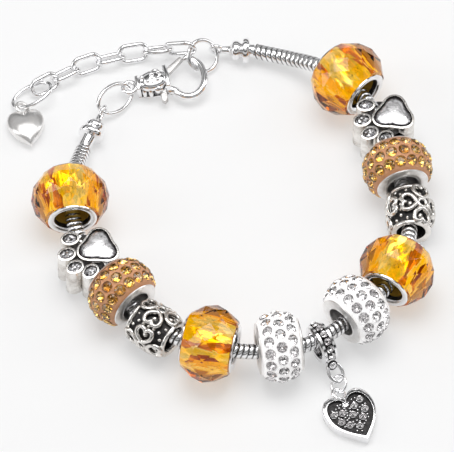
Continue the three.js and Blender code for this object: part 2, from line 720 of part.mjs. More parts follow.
addChain();
addBeads();
addDangle();
addEnds();
addClasp();
addExtension();

// The origin moves to the middle of the footprint, on the table.
bracelet.updateMatrixWorld(true);
const bounds = new THREE.Box3().setFromObject(bracelet, true);
const middle = bounds.getCenter(new THREE.Vector3());
bracelet.position.set(-middle.x, -middle.y, -bounds.min.z);

export default bracelet;
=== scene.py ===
# %% [markdown]
# # A charm bracelet on a table
# The bracelet's hard parts come in as a fixed frame, and this lesson dresses them: a ribbed snake chain,
# faceted glass beads with a coloured core, clay beads set with cut stones, openwork silver, and a clasp.
# The frame gives every place, so each piece is built at the origin and then moved to where the frame has it.

# %% Tools and the frame
import math
import random
import bmesh
import bpy
import numpy as np
from mathutils import Matrix, Vector


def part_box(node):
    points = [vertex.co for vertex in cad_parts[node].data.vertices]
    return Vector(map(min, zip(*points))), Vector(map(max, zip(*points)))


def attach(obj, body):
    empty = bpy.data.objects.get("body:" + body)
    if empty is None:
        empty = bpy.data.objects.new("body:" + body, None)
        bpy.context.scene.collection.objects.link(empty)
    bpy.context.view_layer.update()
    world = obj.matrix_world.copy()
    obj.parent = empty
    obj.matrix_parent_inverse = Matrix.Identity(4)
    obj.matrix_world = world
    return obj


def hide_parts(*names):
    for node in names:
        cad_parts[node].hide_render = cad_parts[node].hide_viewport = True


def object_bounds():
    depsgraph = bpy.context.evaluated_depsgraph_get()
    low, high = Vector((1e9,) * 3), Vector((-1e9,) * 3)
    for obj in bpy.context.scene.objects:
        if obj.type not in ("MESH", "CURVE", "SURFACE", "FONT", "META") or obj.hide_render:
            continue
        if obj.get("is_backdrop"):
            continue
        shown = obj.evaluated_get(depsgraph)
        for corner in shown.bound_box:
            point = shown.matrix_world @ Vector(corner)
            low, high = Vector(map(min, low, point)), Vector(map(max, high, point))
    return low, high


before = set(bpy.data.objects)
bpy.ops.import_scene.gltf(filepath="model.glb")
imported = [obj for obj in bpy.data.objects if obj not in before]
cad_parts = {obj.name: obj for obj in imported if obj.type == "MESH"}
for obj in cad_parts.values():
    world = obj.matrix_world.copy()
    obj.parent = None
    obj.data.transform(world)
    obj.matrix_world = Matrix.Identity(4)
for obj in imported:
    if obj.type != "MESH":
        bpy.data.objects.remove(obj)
FRAME_BOX = [list(corner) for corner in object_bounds()]
MM = 0.001
BODY = "bracelet"
FULL_TURN = 2 * math.pi
random.seed(7)
print("frame box in mm:", [[round(c / MM, 2) for c in corner] for corner in FRAME_BOX])

# %% [markdown]
# ## Small helpers for shapes
# Most jewellery parts are turned, bent from wire, cut from sheet or swollen. So a lathe, a wire ring, a rod,
# a slab and a pillow cover nearly all of them. Each one starts from a few vertices, a circle or a sphere and
# lets spin, extrude and bevel do the rest.

# %% Turned parts
def spread_angles(count, turn=0.0):
    """Angles spread evenly over a full turn, moved on by a share of one step."""
    return [FULL_TURN * (i + turn) / count for i in range(count)]


def mirrored(half):
    """A half profile followed by its reflection, which closes the ring."""
    return half + [(-along, radius) for along, radius in reversed(half)]


def lathe(profile, segments=64, closed=False):
    """A profile of (along, radius) pairs in mm, spun about the X axis."""
    bm = bmesh.new()
    verts = [bm.verts.new((along * MM, 0, radius * MM)) for along, radius in profile]
    edges = [bm.edges.new(pair) for pair in zip(verts, verts[1:])]
    if closed:
        edges.append(bm.edges.new((verts[-1], verts[0])))
    bmesh.ops.spin(bm, geom=verts + edges, cent=(0, 0, 0), axis=(1, 0, 0), angle=FULL_TURN,
                   steps=segments, use_merge=True, use_duplicate=False)
    bmesh.ops.remove_doubles(bm, verts=bm.verts, dist=1e-7)
    bmesh.ops.recalc_face_normals(bm, faces=bm.faces)
    return bm


print("a test disc has", len(lathe([(0, 0), (0, 1), (1, 1), (1, 0)], 12).faces), "faces")

# %% Bent wire
def wire_ring(half_long, half_wide, wire, straight=0.0, segments=64, sides=16):
    """A closed wire loop in the XY plane, in mm: an ellipse, or a long link when straight is set."""
    bm = bmesh.new()
    section = bmesh.ops.create_circle(bm, radius=wire * MM, segments=sides)["verts"]
    bmesh.ops.rotate(bm, verts=section, cent=(0, 0, 0), matrix=Matrix.Rotation(math.pi / 2, 3, "X"))
    bmesh.ops.translate(bm, verts=section, vec=(half_wide * MM, 0, 0))
    bmesh.ops.spin(bm, geom=bm.verts[:] + bm.edges[:], cent=(0, 0, 0), axis=(0, 0, 1), angle=FULL_TURN,
                   steps=segments, use_merge=True, use_duplicate=False)
    bmesh.ops.remove_doubles(bm, verts=bm.verts, dist=1e-7)
    for v in bm.verts:
        angle = math.atan2(v.co.y, v.co.x)
        out = math.hypot(v.co.x, v.co.y) - half_wide * MM
        normal = Vector((math.cos(angle) / half_long, math.sin(angle) / half_wide)).normalized()
        drawn = straight * MM * math.copysign(1, math.cos(angle))
        v.co.x = half_long * MM * math.cos(angle) + out * normal.x + drawn
        v.co.y = half_wide * MM * math.sin(angle) + out * normal.y
    bmesh.ops.recalc_face_normals(bm, faces=bm.faces)
    return bm


def rod(points, radius, closed=False, resolution=2, taper=None):
    """A round rod along points in mm, as a mesh. taper gives the thickness at each point."""
    curve = bpy.data.curves.new("rod", "CURVE")
    curve.dimensions = "3D"
    curve.bevel_depth = radius * MM
    curve.bevel_resolution = resolution
    curve.use_fill_caps = not closed
    spline = curve.splines.new("POLY")
    spline.points.add(len(points) - 1)
    for i, (knot, spot) in enumerate(zip(spline.points, points)):
        knot.co = (*(Vector(spot) * MM), 1)
        knot.radius = taper[i] if taper else 1
    spline.use_cyclic_u = closed
    holder = bpy.data.objects.new("rod", curve)
    mesh = bpy.data.meshes.new_from_object(holder)
    bpy.data.objects.remove(holder)
    bpy.data.curves.remove(curve)
    return mesh


print("a link has", len(wire_ring(1, 1, 0.3, 1).faces), "faces")

# %% Sheet parts
def slab(points, low, high, soft=0.0, steps=2):
    """A flat outline of (x, y) in mm raised from low to high, its edges softened by soft."""
    bm = bmesh.new()
    base = bm.faces.new([bm.verts.new((x * MM, y * MM, low * MM)) for x, y in points])
    raised = bmesh.ops.extrude_face_region(bm, geom=[base])["geom"]
    lifted = [g for g in raised if isinstance(g, bmesh.types.BMVert)]
    bmesh.ops.translate(bm, verts=lifted, vec=(0, 0, (high - low) * MM))
    bmesh.ops.recalc_face_normals(bm, faces=bm.faces)
    if soft:
        flat = [e for e in bm.edges if abs(e.verts[0].co.z - e.verts[1].co.z) < 1e-7]
        bmesh.ops.bevel(bm, geom=flat, offset=soft * MM, offset_type="OFFSET", segments=steps,
                        profile=0.5, affect="EDGES", material=-1)
    return bm


def tray(points, low, high, rim, depth, soft=0.12, lean=0.03):
    """A slab with a raised rim round a sunk floor, which is finish 1."""
    bm = slab(points, low, high, soft)
    facing_up = [f for f in bm.faces if f.normal.z > 0.9]
    face = max(facing_up, key=lambda f: (f.calc_center_median().z, f.calc_area()))
    for thickness in (rim - soft, lean):
        bmesh.ops.inset_region(bm, faces=[face], thickness=thickness * MM, use_even_offset=True)
    bmesh.ops.translate(bm, verts=face.verts, vec=(0, 0, -depth * MM))
    face.material_index = 1
    return bm


print("a tray has", len(tray([(-2, -2), (2, -2), (2, 2), (-2, 2)], 0, 1, 0.4, 0.5).faces), "faces")

# %% Swollen parts
def ball(radius, columns, rows):
    bm = bmesh.new()
    bmesh.ops.create_uvsphere(bm, u_segments=columns, v_segments=rows, radius=radius)
    return bm


def second_finish(bm, rule):
    """Gives finish 1 to the faces whose middle and normal pass the rule, the middle in mm."""
    for face in bm.faces:
        face.material_index = int(rule(face.calc_center_median() / MM, face.normal))
    return bm


def pillow(reach, high, low=0.0, fullness=0.9, flatness=1.0, sides=72, rings=28, round_top=0.0):
    """A sphere drawn out to reach(angle) in mm, high above and low below, with its edge marked.

    With round_top 1 the middle stays a plain dome, and the outline takes over towards the edge.
    """
    bm = ball(1.0, sides, rings)
    edge = bm.verts.layers.float.new("edge")
    even = sum(reach(angle) for angle in spread_angles(sides)) / sides
    for v in bm.verts:
        across = math.hypot(v.co.x, v.co.y)
        angle = math.atan2(v.co.y, v.co.x)
        here = reach(angle) + (even - reach(angle)) * round_top * (1 - min(across, 1) ** 4)
        drawn = here * across ** fullness if across > 1e-6 else 0
        rise = abs(v.co.z) ** flatness * (high if v.co.z > 0 else -low)
        v[edge] = across ** 3
        v.co = Vector((drawn * math.cos(angle), drawn * math.sin(angle), rise)) * MM
    return bm


print("a pillow has", len(pillow(lambda angle: 1.0, 0.5).faces), "faces")

# %% [markdown]
# ## Putting parts together
# A bead is many small parts in one mesh. `add` copies a part into a growing bead at its own place and
# gives it a finish by number. `piece` turns the result into an object that rides on the frame and, where
# the frame has a plainer version of the same part, stands for it.

# %% Moves and turns
def moved(x, y=0.0, z=0.0):
    """The move to a spot given in mm."""
    return Matrix.Translation(Vector((x, y, z)) * MM)


def turned(degrees, axis="Z"):
    return Matrix.Rotation(math.radians(degrees), 4, axis)


def upright(normal):
    """The turn that stands a part's Z along the normal."""
    return Vector(normal).to_track_quat("Z", "X").to_matrix().to_4x4()


def laid_along(x, y, middle):
    """The matrix that lays a part's X and Y along two directions, with its origin at the middle."""
    return Matrix.Translation(middle) @ Matrix((x, y, x.cross(y))).transposed().to_4x4()


print("a quarter turn takes X to", [round(c) for c in turned(90) @ Vector((1, 0, 0))])

# %% Adding a part
def as_mesh(bm, name="template"):
    mesh = bpy.data.meshes.new(name)
    bm.to_mesh(mesh)
    bm.free()
    return mesh


def add(bm, part, at=Matrix(), finish=0):
    """Copies a bmesh or a mesh into bm, placed by the matrix, its finishes counted on from finish."""
    mesh = as_mesh(part) if isinstance(part, bmesh.types.BMesh) else part
    verts_before = len(bm.verts)
    faces_before = len(bm.faces)
    bm.from_mesh(mesh)
    bm.verts.ensure_lookup_table()
    bm.faces.ensure_lookup_table()
    bmesh.ops.transform(bm, matrix=at, verts=bm.verts[verts_before:])
    for face in bm.faces[faces_before:]:
        face.material_index += finish
    return bm


print("a link copied in has", len(add(bmesh.new(), wire_ring(1, 1, 0.3)).faces), "faces")

# %% Making a piece
def piece(name, part, finishes, stands_for=(), at=Matrix(), body=BODY, crease=35):
    """Makes the object from a part placed by at, smooth but for edges sharper than crease degrees."""
    mesh = as_mesh(add(bmesh.new(), part, at), name)
    for finish in finishes:
        mesh.materials.append(finish)
    mesh.polygons.foreach_set("use_smooth", [True] * len(mesh.polygons))
    mesh.set_sharp_from_angle(angle=math.radians(crease))
    obj = bpy.data.objects.new(name, mesh)
    bpy.context.scene.collection.objects.link(obj)
    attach(obj, body)
    if stands_for:
        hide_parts(*stands_for)
    print(name, "has", len(mesh.polygons), "faces")


print("pieces ride on", BODY, "unless they say otherwise")

# %% [markdown]
# ## Where the frame has things
# Links and rings lie at odd angles. Their long axis and the normal of their plane are the first and the
# last principal direction of their vertices, so the frame itself says how each one lies. The string is
# a smooth curve through the middles of the beads, the same curve that the frame's plain chain follows.

# %% Reading the lie of a node
def lie_of(node):
    """The matrix that puts a part's X on a node's longest direction and its Z on the shortest."""
    points = np.array([v.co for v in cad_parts[node].data.vertices])
    points = np.unique(points.round(7), axis=0)
    middle = points.mean(0)
    axes = np.linalg.svd(points - middle, full_matrices=False)[2]
    return laid_along(Vector(axes[0]), Vector(axes[1]), middle)


def middle_of(node):
    low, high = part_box(node)
    return (low + high) / 2


STRING = {
    "left_end": (-26.5, 12.3, 2.4),
    "left_slope": (-27.5, 8.6, 3.9),
    "left_rise": (-28.3, 4.6, 5.7),
    "glass_1": (-28.7, -1.0, 6.2),
    "paw_1": (-25.5, -12.9, 5.5),
    "champagne_1": (-19.5, -20.3, 5.2),
    "hearts_1": (-13.5, -26.9, 5.3),
    "glass_2": (-3.9, -31.6, 5.85),
    "white_1": (8.3, -31.8, 5.2),
    "bail": (15.5, -29.5, 5.3),
    "white_2": (22.0, -24.0, 5.5),
    "glass_3": (29.1, -16.2, 5.95),
    "hearts_2": (31.6, -2.8, 5.3),
    "champagne_2": (29.4, 5.75, 5.2),
    "paw_2": (26.9, 15.4, 5.5),
    "glass_4": (20.6, 24.4, 6.2),
    "right_rise": (15.9, 28.0, 5.6),
    "right_slope": (10.6, 31.2, 3.4),
    "right_end": (4.3, 33.5, 2.35),
}
first_bead = middle_of("glass_bead_1") / MM - Vector(STRING["glass_1"])
ORIGIN_SHIFT = Vector((first_bead.x, first_bead.y, 0))
KNOTS = [Vector(knot) + ORIGIN_SHIFT for knot in STRING.values()]
print("the string's table is shifted by", [round(c, 3) for c in ORIGIN_SHIFT], "mm")

# %% The string's curve
def on_string(t):
    """A point of the centripetal Catmull-Rom curve through the knots, t running from 0 to 1."""
    span = (len(KNOTS) - 1) * t
    i = min(int(span), len(KNOTS) - 2)
    past = span - i
    start, end = KNOTS[i], KNOTS[i + 1]
    before = KNOTS[i - 1] if i else 2 * start - end
    after = KNOTS[i + 2] if i + 2 < len(KNOTS) else 2 * end - start
    ahead = math.sqrt((end - start).length)
    behind = math.sqrt((start - before).length)
    beyond = math.sqrt((after - end).length)
    leaving = ((start - before) / behind - (end - before) / (behind + ahead) + (end - start) / ahead) * ahead
    arriving = ((end - start) / ahead - (after - start) / (ahead + beyond) + (after - end) / beyond) * ahead
    square = 3 * (end - start) - 2 * leaving - arriving
    cube = 2 * (start - end) + leaving + arriving
    return start + leaving * past + square * past ** 2 + cube * past ** 3


def run_at(knot, step=1e-4):
    """The level direction of the string at one of its knots."""
    t = list(STRING).index(knot) / (len(KNOTS) - 1)
    run = on_string(min(t + step, 1)) - on_string(max(t - step, 0))
    return Vector((run.x, run.y, 0))


def station(knot, node):
    """A level frame at a bead: X along the string, origin in the middle of its node."""
    run = run_at(knot)
    return Matrix.Translation(middle_of(node)) @ Matrix.Rotation(math.atan2(run.y, run.x), 4, "Z")


chain_points = np.array([v.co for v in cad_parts["snake_chain"].data.vertices]) / MM
fine_curve = np.array([on_string(i / 4000) for i in range(4001)])
offsets = [float(np.min(np.linalg.norm(fine_curve - p, axis=1))) for p in chain_points[::7]]
print("the frame's chain lies", round(min(offsets), 2), "to", round(max(offsets), 2), "mm from the curve")

# %% [markdown]
# ## Finishes shared by the metals
# Worn silver is never one flat grey: handling leaves soft cloudy patches, a faint warm tarnish and fine
# scratches. That effect is one shader group with its own inputs, placed in every metal with other values.
# It reads Object coordinates, so the pattern stays on the metal from all sides. The same few nodes come up
# in most finishes, so each has a short function of its own.

# %% Placing nodes
def feed(tree, node, **values):
    """Sets a node's sockets by name, or wires a socket into them. i0 is its first socket, and so on."""
    for key, value in values.items():
        numbered = key[0] == "i" and key[1:].isdigit()
        socket = node.inputs[int(key[1:]) if numbered else key.replace("_", " ")]
        if isinstance(value, bpy.types.NodeSocket):
            tree.links.new(value, socket)
        else:
            socket.default_value = value


def put(tree, kind, settings=None, **values):
    """Adds a node, sets its properties and feeds its sockets."""
    node = tree.nodes.new(kind)
    for key, value in (settings or {}).items():
        setattr(node, key, value)
    feed(tree, node, **values)
    return node


def own_coords(tree):
    return put(tree, "ShaderNodeTexCoord").outputs["Object"]


def noise(tree, where, scale, detail, **more):
    return put(tree, "ShaderNodeTexNoise", Vector=where, Scale=scale, Detail=detail, **more).outputs["Fac"]


def bump(tree, height, strength, distance):
    return put(tree, "ShaderNodeBump", Height=height, Strength=strength, Distance=distance).outputs["Normal"]


def reckon(tree, operation, *terms):
    """What a Math node makes of the terms."""
    sockets = {f"i{i}": term for i, term in enumerate(terms)}
    return put(tree, "ShaderNodeMath", {"operation": operation}, **sockets).outputs[0]


def rescale(tree, value, low, high, **more):
    """0 where value is low, 1 where it is high."""
    node = put(tree, "ShaderNodeMapRange", Value=value, From_Min=low, From_Max=high, **more)
    return node.outputs["Result"]


def blend(tree, share, first, second):
    return put(tree, "ShaderNodeMix", {"data_type": "RGBA"}, i0=share, i6=first, i7=second).outputs[2]


def ramp(tree, value, *stops):
    """A colour for each value, by stops of (value, (red, green, blue))."""
    node = put(tree, "ShaderNodeValToRGB", Fac=value)
    elements = node.color_ramp.elements
    elements[0].position, elements[1].position = stops[0][0], stops[-1][0]
    elements[0].color, elements[1].color = (*stops[0][1], 1), (*stops[-1][1], 1)
    for place, shade in stops[1:-1]:
        elements.new(place).color = (*shade, 1)
    return node.outputs["Color"]


print("node helpers:", [helper.__name__ for helper in (feed, put, noise, bump, reckon, rescale, blend, ramp)])

# %% A shader group for worn metal
def new_group(name, inputs, outputs):
    tree = bpy.data.node_groups.new(name, "ShaderNodeTree")
    for label, kind, value in inputs:
        tree.interface.new_socket(label, in_out="INPUT", socket_type=kind).default_value = value
    for label, kind in outputs:
        tree.interface.new_socket(label, in_out="OUTPUT", socket_type=kind)
    return tree, tree.nodes.new("NodeGroupInput").outputs, tree.nodes.new("NodeGroupOutput")


COLOR, FLOAT, VECTOR = "NodeSocketColor", "NodeSocketFloat", "NodeSocketVector"
worn, given, leave = new_group(
    "worn metal",
    [("Bright", COLOR, (1, 1, 1, 1)), ("Dull", COLOR, (0.5, 0.5, 0.5, 1)), ("Wear", FLOAT, 0.5),
     ("Roughness", FLOAT, 0.15), ("Scratches", FLOAT, 0.2)],
    [("Color", COLOR), ("Roughness", FLOAT), ("Normal", VECTOR)])
here = own_coords(worn)
patches = rescale(worn, noise(worn, here, 420.0, 5.0, Roughness=0.6), 0.42, 0.68)
amount = reckon(worn, "MULTIPLY", patches, given["Wear"])
grain = noise(worn, here, 5200.0, 3.0, Distortion=1.5)
feed(worn, leave, Color=blend(worn, amount, given["Bright"], given["Dull"]),
     Roughness=reckon(worn, "MULTIPLY_ADD", amount, 0.22, given["Roughness"]),
     Normal=bump(worn, grain, given["Scratches"], 0.00004))
print("worn metal has", len(worn.nodes), "nodes")

# %% Making a metal from it
def new_finish(name):
    material = bpy.data.materials.new(name)
    material.use_nodes = True
    tree = material.node_tree
    return material, tree, tree.nodes["Principled BSDF"]


def worn_look(tree, bright, dull, wear, roughness, scratches):
    return put(tree, "ShaderNodeGroup", {"node_tree": worn}, Bright=(*bright, 1), Dull=(*dull, 1),
               Wear=wear, Roughness=roughness, Scratches=scratches).outputs


def metal(name, *values):
    material, tree, shader = new_finish(name)
    look = worn_look(tree, *values)
    feed(tree, shader, Metallic=1.0, Base_Color=look["Color"], Roughness=look["Roughness"],
         Normal=look["Normal"])
    return material


POLISHED = metal("polished silver", (0.93, 0.93, 0.94), (0.72, 0.70, 0.69), 0.5, 0.07, 0.12)
SATIN = metal("satin silver", (0.90, 0.89, 0.88), (0.66, 0.63, 0.60), 0.6, 0.28, 0.35)
ANTIQUE = metal("antique silver", (0.90, 0.88, 0.85), (0.45, 0.41, 0.37), 0.75, 0.16, 0.45)
FOIL = metal("stone foil", (0.98, 0.97, 0.97), (0.80, 0.76, 0.78), 0.7, 0.05, 0.0)
GOLD_FOIL = metal("golden stone foil", (0.98, 0.80, 0.45), (0.60, 0.36, 0.14), 1.0, 0.04, 0.0)
# The lever's silver is brushed, and it is darker than the other silver: painted shade on the lever inside the
# clasp.
BRUSHED_AND_SHADED = metal("brushed silver darkened as painted shade", (0.66, 0.65, 0.64), (0.42, 0.40, 0.39), 0.7, 0.3, 0.4)
print("metals:", [m.name for m in bpy.data.materials if m.use_nodes])

# %% [markdown]
# ## Small cut faces
# Glitter, and the inside of a cut bead seen through its facets, are many small flat faces that each catch
# the light alone. A second group gives every cell of a Voronoi pattern its own lean, and its own tone,
# which the finishes turn partly into painted light and shade on that face.

# %% A shader group for small cut faces
cut_faces, given, leave = new_group(
    "small cut faces", [("Vector", VECTOR, (0, 0, 0)), ("Scale", FLOAT, 1.0), ("Lean", FLOAT, 1.0)],
    [("Tone", FLOAT), ("Normal", VECTOR)])


def vector_math(operation, **values):
    return put(cut_faces, "ShaderNodeVectorMath", {"operation": operation}, **values).outputs["Vector"]


cells = put(cut_faces, "ShaderNodeTexVoronoi", Vector=given["Vector"], Scale=given["Scale"]).outputs["Color"]
centred = vector_math("SUBTRACT", i0=cells, i1=(0.5, 0.5, 0.5))
lean = vector_math("SCALE", i0=centred, Scale=given["Lean"])
leaning = vector_math("ADD", i0=lean, i1=put(cut_faces, "ShaderNodeNewGeometry").outputs["Normal"])
# Tone is each cell's own value; the finishes use it partly as painted light and shade on that face.
feed(cut_faces, leave, Tone=put(cut_faces, "ShaderNodeSeparateColor", Color=cells).outputs["Red"],
     Normal=vector_math("NORMALIZE", i0=leaning))
print("small cut faces has", len(cut_faces.nodes), "nodes")

# %% [markdown]
# ## The black of the recesses
# Antique silver is dipped in a blackening bath and then polished, so black stays only in the hollows.
# A separate finish for the sunk faces gives that clear edge between the two. The same black also stands
# as painted shade in the mouths of the polished eyelets.

# %% Black of the recesses, also painted shade
# This black is the real oxide of antique silver in its hollows, and painted shade deep in the mouths of the
# polished eyelets.
OXIDE_AND_PAINTED_SHADE, tree, shader = new_finish("oxide black and painted shade")
black_mottle = noise(tree, own_coords(tree), 1500.0, 6.0, Roughness=0.7)
feed(tree, shader, Base_Color=ramp(tree, black_mottle, (0.45, (0.012, 0.011, 0.011)), (0.75, (0.07, 0.065, 0.065))),
     Normal=bump(tree, black_mottle, 0.5, 0.0001), Metallic=0.4, Roughness=0.5)
print(OXIDE_AND_PAINTED_SHADE.name, "is ready")

# %% [markdown]
# ## The snake chain
# A snake chain is a row of bent plates that lock into each other and look like a ribbed tube. Modelling
# each plate would be heavy and the plates overlap anyway, so a fine grid is rolled round the string's
# curve and pressed into slanted ribs that meet in a seam along the top. How high each point stands is kept
# in an attribute, so that the finish can paint shade into the gaps between the plates.

# %% Points and ribs along the string
CHAIN = {"radius": 1.42, "pitch": 1.0, "slant": 0.55, "gap": 0.2, "sharpness": 0.4, "step": 0.1, "sides": 44}


def evenly_spaced(step, samples=3000):
    """Points along the string that far apart in mm."""
    dense = [on_string(i / samples) for i in range(samples + 1)]
    spots, due, gone = [dense[0]], step, 0.0
    for a, b in zip(dense, dense[1:]):
        length = (b - a).length
        while gone + length >= due:
            spots.append(a.lerp(b, (due - gone) / length))
            due += step
        gone += length
    return spots


def rib_height(along, around):
    """0 in the gap between two plates and 1 on the crown of a plate."""
    phase = along / CHAIN["pitch"] + CHAIN["slant"] * abs(around) / math.pi * 2
    return abs(math.sin(math.pi * phase)) ** CHAIN["sharpness"]


print("the string is", round(len(evenly_spaced(CHAIN["step"])) * CHAIN["step"]), "mm long")

# %% Rolling the grid round the curve
def snake_chain():
    spots = evenly_spaced(CHAIN["step"])
    last = len(spots) - 1
    bm = bmesh.new()
    bmesh.ops.create_grid(bm, x_segments=last, y_segments=CHAIN["sides"], size=1.0)
    height = bm.verts.layers.float.new("rib")
    for v in bm.verts:
        i = round((v.co.x + 1) / 2 * last)
        around = math.pi * v.co.y
        run = (spots[min(i + 1, last)] - spots[max(i - 1, 0)]).normalized()
        side = run.cross(Vector((0, 0, 1))).normalized()
        lift = side.cross(run)
        rib = rib_height(i * CHAIN["step"], around)
        v[height] = rib
        radius = CHAIN["radius"] - CHAIN["gap"] * (1 - rib)
        v.co = (spots[i] + radius * (math.cos(around) * lift + math.sin(around) * side)) * MM
    bmesh.ops.remove_doubles(bm, verts=bm.verts, dist=1e-6)
    bmesh.ops.holes_fill(bm, edges=[e for e in bm.edges if e.is_boundary], sides=0)
    bmesh.ops.recalc_face_normals(bm, faces=bm.faces)
    return bm


print("the grid goes", CHAIN["sides"], "faces round the chain")

# %% Chain finish
CHAIN_SILVER, tree, shader = new_finish("chain silver")
rib = put(tree, "ShaderNodeAttribute", {"attribute_name": "rib"}).outputs["Fac"]
look = worn_look(tree, (0.93, 0.93, 0.94), (0.60, 0.58, 0.57), 0.7, 0.1, 0.25)
# The gaps between the plates are painted near black: painted shade where little light gets in.
black = (0.015, 0.015, 0.016, 1)
feed(tree, shader, Base_Color=blend(tree, rescale(tree, rib, 0.35, 0.8), black, look["Color"]),
     Roughness=look["Roughness"], Normal=look["Normal"], Metallic=1.0)
piece("ribbed_chain", snake_chain(), [CHAIN_SILVER], ["snake_chain"], crease=80)

# %% [markdown]
# ## The glass beads
# Each glass bead is cut in small facets, over a coloured core that lines its hole. Glass bends light, so
# the thin core looks much wider than it is, and only the rim of the bead is clear. The glass has a light
# tint of its own, which deepens with the way that the light takes through it. The facets are flat faces
# between five rings of twelve points, which is what a convex hull gives. The hull's two ends are then
# opened and bridged to the round hole. The core glows with painted light, and its tones from cell to cell
# are painted light and shade on the facets over its own amber colour.

# %% Glass body
GLASS = {"facets": 12, "radius": 7.0, "half": 4.32, "end": 4.9, "mid": 6.6, "mid_at": 1.9, "bore": 3.32,
         "edge": 0.05}


def ring_of_points(bm, along, radius, count, turn=0.0):
    return [bm.verts.new((along * MM, radius * MM * math.sin(angle), radius * MM * math.cos(angle)))
            for angle in spread_angles(count, turn)]


def glass_bead():
    g = GLASS
    bm = bmesh.new()
    ring_of_points(bm, 0, g["radius"], g["facets"])
    for side in (-1, 1):
        ring_of_points(bm, side * g["half"], g["end"], g["facets"])
        ring_of_points(bm, side * g["mid_at"], g["mid"], g["facets"], 0.5)
    bmesh.ops.convex_hull(bm, input=bm.verts)
    bmesh.ops.dissolve_limit(bm, angle_limit=0.01, verts=bm.verts, edges=bm.edges)
    bmesh.ops.bevel(bm, geom=bm.edges, offset=g["edge"] * MM, offset_type="OFFSET", segments=2, profile=0.5,
                    affect="EDGES", material=-1)
    for side in (-1, 1):
        end = max(bm.faces, key=lambda f: side * f.normal.x * (len(f.verts) > 8))
        bmesh.ops.delete(bm, geom=[end], context="FACES_ONLY")
    rims = [e for e in bm.edges if e.is_boundary]
    for side in (-1, 1):
        hole = ring_of_points(bm, side * (g["half"] - g["edge"]), g["bore"], g["facets"] * 3)
        rims += [bm.edges.new((a, b)) for a, b in zip(hole, hole[1:] + hole[:1])]
    for side in (-1, 1):
        bmesh.ops.bridge_loops(bm, edges=[e for e in rims if side * e.verts[0].co.x > 0])
    bmesh.ops.bridge_loops(bm, edges=[e for e in bm.edges if e.is_boundary])
    bmesh.ops.recalc_face_normals(bm, faces=bm.faces)
    return bm


print("a glass bead has", len(glass_bead().faces), "faces with its soft edges")

# %% Coloured core
def colour_core(reach=4.2):
    """A tube just inside the glass, swollen at the ends. Its outer wall is finish 0, its inner one 1."""
    half = [(4.1, 3.25), (4.15, 3.7), (3.4, 3.62), (1.5, 3.45)]
    profile = [(-along, radius) for along, radius in half] + [(0, 3.42)] + half[::-1]
    core = lathe(profile, 72, closed=True)
    place = core.verts.layers.float_vector.new("place")
    for v in core.verts:
        outward = Vector((0, v.co.y, v.co.z)).normalized()
        v[place] = (v.co.x / MM / reach, outward.y, outward.z)
    return second_finish(core, lambda middle, normal: normal.yz.dot(middle.yz) < 0)


print("a core has", len(colour_core().faces), "faces")

# %% Clear glass
GLASS_CLEAR, tree, shader = new_finish("clear bead glass")
smears = noise(tree, own_coords(tree), 260.0, 4.0)
feed(tree, shader, Base_Color=(0.98, 0.95, 0.95, 1), Transmission_Weight=1.0, IOR=1.5,
     Roughness=rescale(tree, smears, 0.5, 0.8, To_Min=0.0, To_Max=0.06),
     Normal=bump(tree, smears, 0.05, 0.0002))
depth_tint = put(tree, "ShaderNodeVolumeAbsorption", Color=(0.83, 0.58, 0.0, 1), Density=310.0)
feed(tree, tree.nodes["Material Output"], Volume=depth_tint.outputs["Volume"])
print(GLASS_CLEAR.name, "tints the light by the depth of glass that it crosses")

# %% Amber core, with painted glow and painted facet light
CORE, tree, shader = new_finish("amber core lit by painted emission")
place = put(tree, "ShaderNodeAttribute", {"attribute_name": "place"}).outputs["Vector"]
stretch = put(tree, "ShaderNodeMapping", Vector=place, Scale=(0.55, 1.5, 1.5)).outputs["Vector"]
panes = put(tree, "ShaderNodeGroup", {"node_tree": cut_faces}, Vector=stretch, Scale=2.0, Lean=0.55).outputs
streaks = reckon(tree, "MULTIPLY_ADD", noise(tree, stretch, 3.0, 4.0), 0.5, -0.22)
# The cell tones and the streaks pick a colour from this ramp: painted light and shade on the facets, over the
# core's own amber.
amber = ramp(tree, reckon(tree, "ADD", panes["Tone"], streaks), (0.06, (0.28, 0.06, 0.002)),
             (0.20, (0.70, 0.24, 0.003)), (0.36, (0.95, 0.58, 0.003)), (0.80, (1.0, 0.76, 0.008)),
             (0.98, (1.0, 0.92, 0.36)))
curls = reckon(tree, "COMPARE", noise(tree, place, 2.6, 2.0, Distortion=2.2), 0.52, 0.007)
from_middle = reckon(tree, "ABSOLUTE", put(tree, "ShaderNodeSeparateXYZ", Vector=place).outputs["X"])
ink = reckon(tree, "MULTIPLY", curls, reckon(tree, "LESS_THAN", from_middle, 0.42))
inked = blend(tree, ink, amber, (0.10, 0.035, 0.003, 1))
# The emission is a painted glow: the core lights itself though it is no lamp.
feed(tree, shader, Base_Color=inked, Emission_Color=inked, Emission_Strength=0.6, Normal=panes["Normal"],
     Metallic=0.8, Roughness=0.12)

CORE_WALL, tree, shader = new_finish("golden core wall")
sheen = noise(tree, own_coords(tree), 700.0, 4.0)
feed(tree, shader, Base_Color=blend(tree, sheen, (0.55, 0.32, 0.03, 1), (0.90, 0.66, 0.14, 1)), Metallic=0.3,
     Roughness=0.3)
print("core finishes:", CORE.name, "and", CORE_WALL.name)

# %% Silver eyelets
EYELET_SHADED_MOUTH = {"radius": 3.2, "behind": 0.02}


